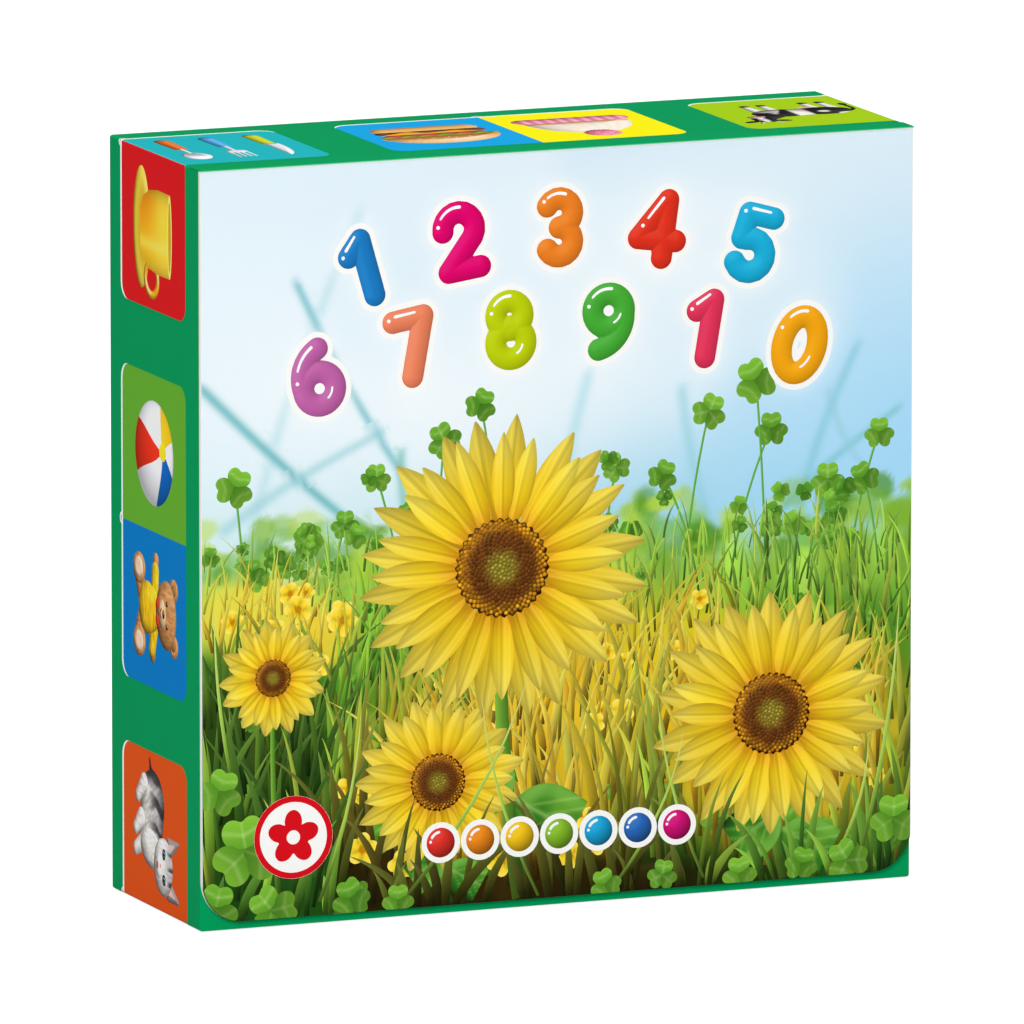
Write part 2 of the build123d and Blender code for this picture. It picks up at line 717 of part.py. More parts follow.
def books():
    k = 0
    for layer in range(BOOK_LAYERS):
        for row in range(BOOKS_UP):
            for column in range(BOOKS_ACROSS):
                x = -ROOM_X + LINER + BOOK_SIDE_PLAY + column * (BOOK_WIDTH + BOOK_SIDE_PLAY)
                y = ROOM_Y0 + LINER + BOOK_LAYER_PLAY + layer * (BOOK_THICKNESS + BOOK_LAYER_PLAY)
                z = ROOM_Z0 + LINER + row * BOOK_HEIGHT
                book(BOOK_PICTURES[k % len(BOOK_PICTURES)], (x, y, z))
                k += 1


def closure():
    for x in (-CLOSURE_SPREAD / 2, CLOSURE_SPREAD / 2):
        keep("lip_magnets", magnet(x))


tray()
tray_liner()
closure()
keep("hinge_paper", hinge_paper())
flap()
books()

os.makedirs("parts", exist_ok=True)
for name, solids in nodes.items():
    shape = solids[0] if len(solids) == 1 else Compound(children=solids)
    export_step(shape, os.path.join("parts", name + ".step"))
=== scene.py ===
# Looks of the boxed board books, in metres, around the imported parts.
import math

import bpy
import numpy as np
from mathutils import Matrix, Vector


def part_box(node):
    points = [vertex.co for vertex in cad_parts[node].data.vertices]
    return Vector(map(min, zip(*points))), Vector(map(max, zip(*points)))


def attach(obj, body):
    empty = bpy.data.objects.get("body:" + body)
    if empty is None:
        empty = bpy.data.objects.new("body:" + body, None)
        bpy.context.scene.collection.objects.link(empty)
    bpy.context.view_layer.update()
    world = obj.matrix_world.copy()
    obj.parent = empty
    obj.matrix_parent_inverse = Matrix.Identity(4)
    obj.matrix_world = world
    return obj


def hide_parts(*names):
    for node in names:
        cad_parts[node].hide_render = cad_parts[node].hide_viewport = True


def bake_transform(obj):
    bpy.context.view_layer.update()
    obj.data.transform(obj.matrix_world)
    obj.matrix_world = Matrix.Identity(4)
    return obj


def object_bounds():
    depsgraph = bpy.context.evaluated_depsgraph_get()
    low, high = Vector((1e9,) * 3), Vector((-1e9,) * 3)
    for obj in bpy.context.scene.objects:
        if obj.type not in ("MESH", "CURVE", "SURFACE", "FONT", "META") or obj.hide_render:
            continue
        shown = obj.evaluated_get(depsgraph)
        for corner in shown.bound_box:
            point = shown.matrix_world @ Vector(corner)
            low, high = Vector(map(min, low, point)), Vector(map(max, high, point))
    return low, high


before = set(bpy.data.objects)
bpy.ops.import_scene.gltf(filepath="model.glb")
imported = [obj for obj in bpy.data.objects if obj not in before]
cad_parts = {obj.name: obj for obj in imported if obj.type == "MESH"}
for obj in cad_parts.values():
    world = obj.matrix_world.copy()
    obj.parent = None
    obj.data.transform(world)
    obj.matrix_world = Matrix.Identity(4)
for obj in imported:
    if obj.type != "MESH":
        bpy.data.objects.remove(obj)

CAD_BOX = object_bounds()

MM = 0.001

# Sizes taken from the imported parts, in millimetres
TRAY_LOW, TRAY_HIGH = (np.array(c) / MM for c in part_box("tray"))
FLAP_LOW, FLAP_HIGH = (np.array(c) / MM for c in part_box("flap_board"))
Y_FRONT = CAD_BOX[0][1] / MM
Y_RIM = TRAY_LOW[1]
Y_BACK = TRAY_HIGH[1]
X_SIDE = TRAY_HIGH[0]
HEIGHT = TRAY_HIGH[2]
Y_BAND = (Y_RIM + Y_BACK) / 2

# The parts' own sizes, in millimetres
FOLD_RADIUS = 0.5
FLAP_CORNER = 7.6
PAGE_WIDTH = 28.4
PAGE_HEIGHT = 31.5
PAGE_CORNER = 3.0
PAGE_EDGE = 0.7
SPINE_BUMP = 1.2
PAGE_PICTURE = 22.0
LABEL_SIZE = 46.0
LABEL_CORNER = 4.0
LABEL_PICTURE = 36.0
CREASE_OFFSET = 6.0
DIGIT_HEIGHT = 14.5
DIGIT_RADIUS = 0.14
DIGIT_OUTLINE = 1.0

# How far one printed shape lies above the one under it
LAYER = 0.0009
CARD_GREEN = "#00a05e"
WHITE = "#fbfbf8"


def rgb(code):
    """An sRGB hex colour as three numbers from 0 to 1."""
    return np.array([int(code[k : k + 2], 16) / 255 for k in (1, 3, 5)])


def linear(colour):
    """sRGB numbers as the linear ones that the renderer works in."""
    c = np.clip(np.asarray(colour, float), 0, 1)
    return np.where(c <= 0.04045, c / 12.92, ((c + 0.055) / 1.055) ** 2.4)


def smooth(low, high, value):
    """0 below low, 1 above high and an even slope between."""
    t = np.clip((value - low) / (high - low), 0, 1)
    return t * t * (3 - 2 * t)


def ripple(angle, curve=np.sin):
    """A wave between 0 and 1."""
    return 0.5 + 0.5 * curve(angle)


def bell(value, width):
    """1 at 0 and soft to 0 on both sides."""
    return np.exp(-((value / width) ** 2))


def colour_of(value):
    """A colour or rows of colours as numbers. A text is a hex colour."""
    return rgb(value) if isinstance(value, str) else np.asarray(value)


def mix(a, b, share):
    """Two colours, or rows of them, mixed by a share for each place."""
    share = np.asarray(share)[..., None] if np.ndim(share) else share
    return colour_of(a) * (1 - share) + colour_of(b) * share


def noise(x, y, size, seed):
    """Soft spots of about that size, from 0 to 1."""
    lattice = np.random.RandomState(seed).rand(64, 64)
    u, v = x / size + 17.3, y / size + 5.9
    i, j = np.floor(u).astype(int), np.floor(v).astype(int)
    s, t = u - i, v - j
    s, t = s * s * (3 - 2 * s), t * t * (3 - 2 * t)
    a, b = lattice[i % 64, j % 64], lattice[(i + 1) % 64, j % 64]
    c, d = lattice[i % 64, (j + 1) % 64], lattice[(i + 1) % 64, (j + 1) % 64]
    return (a * (1 - s) + b * s) * (1 - t) + (c * (1 - s) + d * s) * t


# Flat shapes as distances: below 0 inside and above 0 outside


def disc(cx, cy, r):
    return lambda x, y: np.hypot(x - cx, y - cy) - r


def egg(cx, cy, a, b, turn=0.0):
    c, s = math.cos(math.radians(turn)), math.sin(math.radians(turn))

    def f(x, y):
        u, v = c * (x - cx) + s * (y - cy), -s * (x - cx) + c * (y - cy)
        return (np.hypot(u / a, v / b) - 1) * min(a, b)

    return f


def bar(x0, y0, x1, y1, r, r1=None):
    """A line with round ends, that may taper from r to r1."""
    r1 = r if r1 is None else r1
    dx, dy = x1 - x0, y1 - y0

    def f(x, y):
        t = np.clip(((x - x0) * dx + (y - y0) * dy) / (dx * dx + dy * dy), 0, 1)
        return np.hypot(x - x0 - t * dx, y - y0 - t * dy) - (r + (r1 - r) * t)

    return f


def trail(points, r, r1=None):
    """A bent line through some points."""
    n = len(points) - 1
    r1 = r if r1 is None else r1
    widths = [r + (r1 - r) * k / n for k in range(n + 1)]
    return join(*(bar(*points[k], *points[k + 1], widths[k], widths[k + 1]) for k in range(n)))


def poly(*points):
    """A figure with straight sides."""
    p = np.array(points, float)
    q = np.roll(p, -1, 0)

    def f(x, y):
        best = np.full(np.shape(x), 1e9)
        inside = np.zeros(np.shape(x), bool)
        for (ax, ay), (bx, by) in zip(p, q):
            dx, dy = bx - ax, by - ay
            t = np.clip(((x - ax) * dx + (y - ay) * dy) / (dx * dx + dy * dy), 0, 1)
            best = np.minimum(best, np.hypot(x - ax - t * dx, y - ay - t * dy))
            if ay != by:
                crosses = (ay > y) != (by > y)
                inside ^= crosses & (x < ax + (y - ay) * dx / dy)
        return np.where(inside, -best, best)

    return f


def rectangle(x0, y0, x1, y1):
    return poly((x0, y0), (x0, y1), (x1, y1), (x1, y0))


def grown(f, r):
    return lambda x, y: f(x, y) - r


def hoop(f, r):
    """The line along a figure's edge."""
    return lambda x, y: np.abs(f(x, y)) - r


def join(*fs):
    return lambda x, y: np.minimum.reduce([f(x, y) for f in fs])


def both(*fs):
    return lambda x, y: np.maximum.reduce([f(x, y) for f in fs])


def cut(f, *gs):
    return lambda x, y: np.maximum.reduce([f(x, y)] + [-g(x, y) for g in gs])


def meld(k, *fs):
    """Figures that flow into each other."""

    def f(x, y):
        total = fs[0](x, y)
        for g in fs[1:]:
            other = g(x, y)
            h = np.clip(0.5 + 0.5 * (other - total) / k, 0, 1)
            total = other * (1 - h) + total * h - k * h * (1 - h)
        return total

    return f


def arc(cx, cy, r, start, sweep, wide=1.0):
    """Places along an arc."""
    a = np.radians(np.linspace(start, start + sweep, 12))
    return [(cx + wide * r * math.cos(t), cy + r * math.sin(t)) for t in a]


def five_petals(far, a, b, first=0):
    """Five eggs round a middle."""
    turns = (math.radians(first + 72 * k) for k in range(5))
    return join(*(egg(far * math.cos(t), far * math.sin(t), a, b, math.degrees(t)) for t in turns))


# Paints: the colour at each place of a figure

# Where the light on the small pictures comes from
LIGHT_X, LIGHT_Y = -0.45, 0.55
LIGHT_Z = math.sqrt(1 - LIGHT_X * LIGHT_X - LIGHT_Y * LIGHT_Y)


def flat(paint):
    """A hex colour as a paint. A paint stays as it is."""
    if callable(paint):
        return paint
    colour = rgb(paint)
    return lambda x, y: np.repeat(colour[None], len(x), 0)


def fade(bottom, top, y0=-0.5, y1=0.5, across=False):
    """One colour that turns into another from y0 to y1, or from x0 to x1."""
    return lambda x, y: mix(bottom, top, smooth(y0, y1, x if across else y))


def lit(f, paint, depth=0.1, shade=0.45, gloss=0.0, dim="#2a1c10"):
    """A figure as if it were swollen and lit from one side. dim is its colour in the shade."""
    paint, dim = flat(paint), rgb(dim)

    def colour(x, y):
        def height(px, py):
            t = np.clip(-f(px, py) / depth, 0, 1)
            return depth * np.sqrt(np.maximum(1 - (1 - t) ** 2, 0))

        e = 0.006  # half the way over which the slope is measured
        hx = (height(x + e, y) - height(x - e, y)) / (2 * e)
        hy = (height(x, y + e) - height(x, y - e)) / (2 * e)
        norm = np.sqrt(hx * hx + hy * hy + 1)
        facing = (-hx * LIGHT_X - hy * LIGHT_Y + LIGHT_Z) / norm
        dark = np.clip((LIGHT_Z + 0.1 - facing) * 0.9, 0, 1)
        bright = np.clip(facing - LIGHT_Z, 0, 1) * 0.55
        made = mix(paint(x, y), paint(x, y) * 0.35 + dim * 0.1, dark * shade / 0.45)
        made = mix(made, np.ones(3), bright * 0.6)
        if gloss:
            spot = np.clip((-hx * LIGHT_X * 0.6 - hy * LIGHT_Y * 0.6 + 0.95) / norm, 0, 1) ** 40
            made = mix(made, np.ones(3), gloss * spot)
        return made

    return colour


def furry(paint, amount, length=0.08, width=0.014, turn=0.0):
    """Strands that lie along one direction."""
    paint = flat(paint)
    c, s = math.cos(math.radians(turn)), math.sin(math.radians(turn))

    def colour(x, y):
        u, v = c * x + s * y, -s * x + c * y
        strands = noise(u, v * length / width, length, 3)
        fine = noise(u * 2.1, v * 2.1 * length / width, length, 4)
        return paint(x, y) * (1 + amount * (strands + 0.6 * fine - 0.8))[:, None]

    return colour


def over(paint, f, other, edge=0.01):
    """Another colour on a part of a figure, with a soft edge."""
    paint, other = flat(paint), flat(other)
    return lambda x, y: mix(paint(x, y), other(x, y), smooth(edge, -edge, f(x, y)))


# Surfaces that take print: flat places and a height, in millimetres, turned into points


def flat_surface(origin, right, up):
    origin, right, up = (np.array(v, float) for v in (origin, right, up))
    out = np.cross(right, up)

    def place(x, y, h):
        return origin + np.outer(x, right) + np.outer(y, up) + np.outer(h, out)

    return place


def folded_side(origin, right, up, length):
    """A side of the tray. Its two ends turn half-way round the folds."""
    origin, right, up = (np.array(v, float) for v in (origin, right, up))
    out = np.cross(right, up)
    straight = length / 2 - FOLD_RADIUS

    def place(x, y, h):
        angle = np.maximum(np.abs(x) - straight, 0) / FOLD_RADIUS
        reach = FOLD_RADIUS + h
        along = np.sign(x) * (np.minimum(np.abs(x), straight) + reach * np.sin(angle))
        drop = FOLD_RADIUS - reach * np.cos(angle)
        return origin + np.outer(along, right) + np.outer(y, up) - np.outer(drop, out)

    return place


class Pile:
    """How many printed shapes lie over each other at each place of a face, cell by cell."""

    CELL = 0.4

    def __init__(self, half, height):
        self.half = half
        self.counts = np.ones((int(2 * half / self.CELL) + 3, int(height / self.CELL) + 3))

    def put(self, along, up, faces):
        """Lays a shape on what lies under it and gives its level."""
        corners = np.array([tuple(face[:4]) + (face[0],) * (4 - len(face)) for face in faces])
        a, b = along[corners], up[corners]
        us, vs = np.meshgrid(np.linspace(0, 1, 6), np.linspace(0, 1, 4))
        u, v = us.ravel(), vs.ravel()
        shares = np.stack([(1 - u) * (1 - v), u * (1 - v), u * v, (1 - u) * v])
        i = ((a @ shares).ravel() + self.half) / self.CELL + 1
        j = (b @ shares).ravel() / self.CELL + 1
        i = np.clip(i, 0, self.counts.shape[0] - 1).astype(int)
        j = np.clip(j, 0, self.counts.shape[1] - 1).astype(int)
        level = self.counts[i, j].max() + 1
        self.counts[i, j] = level
        return level


class Print:
    """Printed shapes on one surface, each a hair above the one before it."""

    def __init__(self, surface, base, pile=None, bound=None, keep=None):
        self.surface = surface
        self.base = base
        self.pile = pile
        self.bound = bound
        self.keep = keep
        self.gain = 1.0
        self.layer = 0
        self.count = 0
        self.places, self.colours, self.faces = [], [], []
        self.aim(0, 0, 1)

    def aim(self, x, y, size, turn=0.0):
        """Sets the place, size and turn of the next shapes."""
        self.pen = (x, y, size, math.radians(turn))
        return self

    def resize(self, share, dx=0.0, dy=0.0):
        """Makes the next shapes larger by a share, and moves them by shares of the size."""
        x, y, size, turn = self.pen
        self.aim(x + dx * size, y + dy * size, size * share, math.degrees(turn))

    def on_surface(self, px, py):
        x, y, size, turn = self.pen
        c, s = size * math.cos(turn), size * math.sin(turn)
        return x + c * px - s * py, y + s * px + c * py

    def add(self, points, faces, colours):
        p = np.asarray(points, float)
        along, up = self.on_surface(p[:, 0], p[:, 1])
        if self.pile:
            self.layer = self.pile.put(along, up, faces)
        height = np.full(len(p), self.base + self.layer * LAYER)
        self.places.append(self.surface(along, up, height) * MM)
        self.colours.append(np.clip(np.asarray(colours) * self.gain, 0, 1))
        self.faces += [tuple(int(k) + self.count for k in face) for face in faces]
        self.count += len(p)

    def fill(self, f, paint, cell=0.4, reach=(-0.55, 0.55, -0.55, 0.55), stretch=1.0):
        """A figure given by its distance, on a grid of that cell in millimetres."""
        self.layer += 1
        step = cell / self.pen[2]
        x0, x1, y0, y1 = reach
        long = step * stretch
        nx, ny = int((x1 - x0) / long) + 2, int((y1 - y0) / step) + 2
        gx, gy = np.meshgrid(x0 + long * np.arange(nx), y0 + step * np.arange(ny), indexing="ij")
        x, y = gx.ravel(), gy.ravel()
        value = f(x, y)
        if self.bound:
            value = np.maximum(value, self.bound(*self.on_surface(x, y)) / self.pen[2])
        value = value.reshape(nx, ny)
        # Corners almost on the figure's edge count as inside, which keeps slivers away
        snap = 0.04 * step
        value = np.where(np.abs(value) < snap, -snap, value)
        inside = value < 0
        corners = inside[:-1, :-1].astype(int) + inside[1:, :-1] + inside[1:, 1:] + inside[:-1, 1:]
        places, index, faces = [], {}, []

        def point(a, b):
            """The number of the place at a, or of the figure's edge between a and b."""
            key = (min(a, b), max(a, b))
            if key not in index:
                t = 0.0 if a == b else value[a] / (value[a] - value[b])
                index[key] = len(places)
                places.append((gx[a] + t * (gx[b] - gx[a]), gy[a] + t * (gy[b] - gy[a])))
            return index[key]

        whole, crossed = np.argwhere(corners == 4), np.argwhere((corners > 0) & (corners < 4))
        for i, j in np.concatenate([whole, crossed]):
            around = ((i, j), (i + 1, j), (i + 1, j + 1), (i, j + 1))
            ring = []
            for k in range(4):
                a, b = around[k], around[(k + 1) % 4]
                if inside[a]:
                    ring.append(point(a, a))
                if inside[a] != inside[b]:
                    ring.append(point(a, b))
            if len(ring) > 2:
                faces.append(ring)
        if not faces:
            return
        places = np.array(places)
        self.add(places, faces, flat(paint)(places[:, 0], places[:, 1]))

    def swell(self, f, cell, *paint, **light):
        """A swollen figure. What lit takes follows the cell."""
        self.fill(f, lit(f, *paint, **light), cell)

    def pelt(self, f, cell, paint, depth, amount, turn=0.0, **light):
        """A swollen figure with strands along one direction."""
        self.fill(f, furry(lit(f, paint, depth, **light), amount, turn=turn), cell)

    def strip(self, xs, low, high, rows, paint):
        """Upright columns between a lower and an upper line."""
        self.layer += 1
        xs = np.asarray(xs, float)
        t = np.linspace(0, 1, rows + 1)
        lows, highs = low(xs), high(xs)
        ys = lows[:, None] + (highs - lows)[:, None] * t[None]
        points = np.stack([np.repeat(xs, rows + 1), ys.ravel()], 1)
        faces = []
        for i in range(len(xs) - 1):
            a, b = i * (rows + 1), (i + 1) * (rows + 1)
            faces += [(a + j, b + j, b + j + 1, a + j + 1) for j in range(rows)]
        self.add(points, faces, flat(paint)(points[:, 0], points[:, 1]))

    def blade(self, path, widths, left, right, tip=None, root=0.5):
        """A leaf of grass along a path: dark at its root, one side lighter, with its own tip."""
        path = np.asarray(path, float)
        along = np.gradient(path, axis=0)
        along /= np.maximum(np.linalg.norm(along, axis=1, keepdims=True), 1e-9)
        side = np.stack([-along[:, 1], along[:, 0]], 1) * (np.asarray(widths) / 2)[:, None]
        n = len(path)
        points = np.concatenate([path + side, path, path - side])
        if self.keep:
            points = self.keep(points)
        faces = []
        for k in range(n - 1):
            faces.append((n + k, n + k + 1, k + 1, k))
            faces.append((2 * n + k, 2 * n + k + 1, n + k + 1, n + k))
        t = np.linspace(0, 1, n)
        shade = (root + (1 - root) * smooth(0.0, 0.4, t))[:, None]
        left, right = colour_of(left), colour_of(right)
        middle = (left + right) / 2
        rows = [mix(c, c if tip is None else tip, t**1.5) * shade for c in (left, middle, right)]
        self.add(points, faces, np.concatenate(rows))

    def dots(self, dots):
        """Small discs that don't touch, each as place, radius and colour."""
        sides = 6
        points, faces, shades = [], [], []
        a = np.linspace(0, 2 * math.pi, sides, endpoint=False)
        light = 0.8 - 0.18 * np.cos(a) + 0.35 * np.sin(a)
        for x, y, r, colour in dots:
            first = len(points)
            points += [(x, y)] + [(x + r * math.cos(t), y + r * math.sin(t)) for t in a]
            faces += [(first, first + 1 + k, first + 1 + (k + 1) % sides) for k in range(sides)]
            shades += [colour * 1.1] + [colour * share for share in light]
        self.add(points, faces, np.array(shades))

    def piece(self, name, body, slot, film, replaced):
        """The print as one piece of the model: a closed film with its colours."""
        made = inked_object(name, np.vstack(self.places), self.faces, np.vstack(self.colours))
        solid = made.modifiers.new("film", "SOLIDIFY")
        solid.thickness = film * MM
        solid.offset = -1
        bpy.ops.object.modifier_apply(modifier=solid.name)
        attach(made, body)
        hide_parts(*replaced)


def inked_object(name, places, faces, colours):
    """Links an object with a printed colour at each place, and makes it the active one."""
    mesh = bpy.data.meshes.new(name)
    mesh.from_pydata(places.tolist(), [], faces)
    inks = mesh.color_attributes.new("ink", "FLOAT_COLOR", "POINT")
    values = np.ones((len(places), 4))
    values[:, :3] = linear(colours)
    inks.data.foreach_set("color", values.ravel())
    mesh.update()
    mesh.materials.append(laminated_print())
    made = bpy.data.objects.new(name, mesh)
    bpy.context.scene.collection.objects.link(made)
    bpy.ops.object.select_all(action="DESELECT")
    made.select_set(True)
    bpy.context.view_layer.objects.active = made
    return made


# Materials


def add_node(tree, kind, inputs=(), **settings):
    """Adds a node, sets its values and links its inputs."""
    made = tree.nodes.new(kind)
    for key, value in settings.items():
        setattr(made, key, value)
    for key, value in dict(inputs).items():
        if isinstance(value, bpy.types.NodeSocket):
            tree.links.new(value, made.inputs[key])
        else:
            made.inputs[key].default_value = value
    return made


def hexa(code):
    return (*linear(rgb(code)), 1.0)


MATERIALS = {}


def material(name, build):
    """A material by its name, made once. build gives the shader node of its surface."""
    if name not in MATERIALS:
        made = bpy.data.materials.new(name)
        made.use_nodes = True
        tree = made.node_tree
        tree.nodes.clear()
        shader = build(tree)
        add_node(tree, "ShaderNodeOutputMaterial", {"Surface": shader.outputs[0]})
        MATERIALS[name] = made
    return MATERIALS[name]


def object_noise(tree, size_mm, detail=2.0):
    where = add_node(tree, "ShaderNodeTexCoord")
    inputs = {"Vector": where.outputs["Object"], "Scale": 1 / (size_mm * MM), "Detail": detail}
    return add_node(tree, "ShaderNodeTexNoise", inputs)


def relief(tree, size_mm, height_mm, detail=2.0):
    """Fine unevenness as a normal."""
    grain = object_noise(tree, size_mm, detail)
    inputs = {"Height": grain.outputs["Fac"], "Distance": height_mm * MM, "Strength": 1.0}
    return add_node(tree, "ShaderNodeBump", inputs)


def tone(tree, spots, code, mottle):
    """A colour that is a little darker in some spots."""
    dark = (*linear(rgb(code) * (1 - mottle)), 1.0)
    inputs = {0: spots.outputs["Fac"], 6: dark, 7: hexa(code)}
    return add_node(tree, "ShaderNodeMix", inputs, data_type="RGBA").outputs[2]


def principled(tree, colour, bump, values):
    """The shader of a surface that isn't metal."""
    inputs = {"Base Color": colour, "Normal": bump.outputs["Normal"], **values}
    return add_node(tree, "ShaderNodeBsdfPrincipled", inputs)


LAMINATE = {
    "Roughness": 0.32,
    "IOR": 1.46,
    "Specular IOR Level": 0.03,
    "Coat Weight": 0.02,
    "Coat Roughness": 0.15,
}


def laminated_print():
    """Offset print on art paper under a thin film: even, clear colour with a faint sheen."""

    def build(tree):
        ink = add_node(tree, "ShaderNodeAttribute", attribute_name="ink")
        return principled(tree, ink.outputs["Color"], relief(tree, 0.7, 0.003), LAMINATE)

    return material("laminated_print", build)


def laminated_card(name, code):
    """Grey board wrapped in printed and laminated paper: one even colour, hardly mottled."""

    def build(tree):
        colour = tone(tree, object_noise(tree, 14.0), code, 0.035)
        return principled(tree, colour, relief(tree, 0.7, 0.003), LAMINATE)

    return material(name, build)


def uncoated_paper(name, code):
    """Matt white lining paper with a soft fibre grain."""

    def build(tree):
        colour = tone(tree, object_noise(tree, 1.5), code, 0.04)
        matt = {"Roughness": 0.85, "Specular IOR Level": 0.25}
        return principled(tree, colour, relief(tree, 0.35, 0.012, 4.0), matt)

    return material(name, build)


def cut_board(name, code):
    """The cut edge of board: fine streaks along the layers of its fibre."""

    def build(tree):
        where = add_node(tree, "ShaderNodeTexCoord")
        inputs = {"Vector": where.outputs["Object"], "Scale": (150.0, 9000.0, 150.0)}
        stretched = add_node(tree, "ShaderNodeMapping", inputs)
        inputs = {"Vector": stretched.outputs[0], "Scale": 1.0, "Detail": 3.0}
        streaks = add_node(tree, "ShaderNodeTexNoise", inputs)
        colour = tone(tree, streaks, code, 0.14)
        inputs = {"Height": streaks.outputs["Fac"], "Distance": 0.02 * MM}
        bump = add_node(tree, "ShaderNodeBump", inputs)
        return principled(tree, colour, bump, {"Roughness": 0.7})

    return material(name, build)


def metal(name, code, rough):
    """Nickel-plated magnet or plain steel: even metal with fine turning marks."""

    def build(tree):
        marks = object_noise(tree, 0.3, 3.0)
        low, high = rough * 0.8, rough * 1.3
        inputs = {"Value": marks.outputs["Fac"], "To Min": low, "To Max": high}
        spread = add_node(tree, "ShaderNodeMapRange", inputs)
        inputs = {"Base Color": hexa(code), "Metallic": 1.0, "Roughness": spread.outputs[0]}
        return add_node(tree, "ShaderNodeBsdfPrincipled", inputs)

    return material(name, build)


def dress(node, finish):
    """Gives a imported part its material."""
    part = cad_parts[node]
    part.data.materials.clear()
    part.data.materials.append(finish)


# Pictures in a field one unit wide. Each takes the print that it is drawn on


def cup(p, cell):
    saucer = egg(0.0, -0.27, 0.5, 0.19)
    well = egg(0.0, -0.24, 0.33, 0.1)
    dish = over(lit(saucer, fade("#d9c030", "#ecd460", -0.46, -0.1), 0.05), well, "#c9a42c", 0.03)
    p.fill(saucer, dish, cell)
    p.swell(hoop(egg(0.4, -0.05, 0.13, 0.14, -14), 0.034), cell, "#eaa61c", 0.034, gloss=0.6)
    left = [(-0.33, 0.36), (-0.335, 0.1), (-0.31, -0.1), (-0.25, -0.22), (-0.15, -0.29)]
    side = grown(poly(*left, *((-x, y) for x, y in reversed(left))), 0.012)
    rim = egg(0.0, 0.36, 0.342, 0.05)

    def glaze(x, y):
        u = x / 0.34
        base = mix("#dcae1e", "#efcb3c", smooth(-0.3, 0.3, y))
        warm = smooth(0.2, -0.28, y) * smooth(0.5, -0.8, u)
        base = mix(base, "#e08210", 0.9 * warm)
        base = mix(base, "#f6dc6c", 0.5 * bell(u - 0.35, 0.16))
        return base * (1 - 0.22 * np.abs(u)[:, None] ** 4)

    p.fill(join(side, rim), glaze, cell)
    p.fill(rim, "#f4e070", cell)
    hollow = egg(0.0, 0.357, 0.3, 0.032)
    p.fill(hollow, fade("#d8b02a", "#b08a1c", 0.32, 0.39), cell)


def ball(p, cell):
    whole = disc(0, 0, 0.43)
    hub_x, hub_y = -0.037, 0.19

    def shaded(code):
        def colour(x, y):
            r2 = np.clip((x * x + y * y) / 0.185, 0, 1)
            facing = -0.35 * x / 0.43 + 0.3 * y / 0.43 + 0.85 * np.sqrt(1 - r2)
            made = rgb(code)[None] * (0.7 + 0.38 * np.clip(facing, 0, 1))[:, None]
            spot = np.exp(-((x + 0.17) ** 2 + (y - 0.02) ** 2) / 0.003)
            return mix(made, np.ones(3), 0.75 * spot)

        return colour

    def panel(middle, half):
        def f(x, y):
            dx, dy = x - hub_x, y - hub_y
            far = np.hypot(dx, dy)
            angle = np.degrees(np.arctan2(dy, dx)) + 14 * np.sin(3 * far)
            off = np.abs((angle - middle + 180) % 360 - 180) - half
            return np.radians(off) * far

        return both(whole, f)

    p.fill(whole, shaded("#e8e8ec"), cell)
    for middle, half, code in ((29, 32, "#0e62b4"), (164, 36, "#f2bb1e"), (284, 22, "#dc3018")):
        p.fill(panel(middle, half), shaded(code), cell * 0.9)
    p.fill(disc(hub_x, hub_y, 0.075), shaded("#f8ca28"), cell * 0.6)


def teddy(p, cell):
    fur, pad, wool = "#c88c52", "#f0cdae", "#eebf1c"

    def limb(f, paint, depth=0.07, turn=0.0):
        p.pelt(f, cell, paint, depth, 0.3, turn, dim="#3a1c08")

    for s in (-1, 1):
        limb(bar(0.13 * s, -0.3, 0.27 * s, -0.36, 0.1), fur, turn=90)
        limb(egg(0.3 * s, -0.35, 0.13, 0.14), fur, 0.05)
        p.pelt(egg(0.305 * s, -0.36, 0.09, 0.1), cell, pad, 0.04, 0.15)
    for s, x, y in ((-1, 0.42, 0.02), (1, 0.38, -0.06)):
        limb(bar(0.36 * s, y, x * s, y + 0.01, 0.06), fur)
        limb(bar(0.12 * s, 0.0, 0.33 * s, y, 0.085, 0.075), wool, 0.06)
    limb(meld(0.05, egg(0, -0.16, 0.22, 0.2), egg(0, -0.02, 0.17, 0.13)), wool, 0.12)
    for s in (-1, 1):
        limb(disc(0.23 * s, 0.43, 0.095), fur, 0.04)
        limb(disc(0.225 * s, 0.42, 0.05), "#a36c3c", 0.04)
    limb(meld(0.06, egg(0, 0.27, 0.285, 0.21), egg(0, 0.19, 0.22, 0.16)), fur, 0.15, 90)
    limb(egg(0, 0.17, 0.12, 0.085), "#e6bb8c", 0.06)
    p.swell(egg(0, 0.2, 0.038, 0.026), cell * 0.6, "#241812", 0.02, gloss=0.6)
    p.fill(trail(arc(0, 0.165, 0.04, 200, 140), 0.008), "#8c2f1c", cell * 0.6)
    tie = join(egg(-0.07, 0.06, 0.06, 0.035, -20), egg(0.07, 0.06, 0.06, 0.035, 20))
    p.swell(tie, cell * 0.7, "#d8361c", 0.03)
    for s in (-1, 1):
        p.swell(disc(0.095 * s, 0.275, 0.024), cell * 0.6, "#1c120c", 0.015, gloss=0.9)


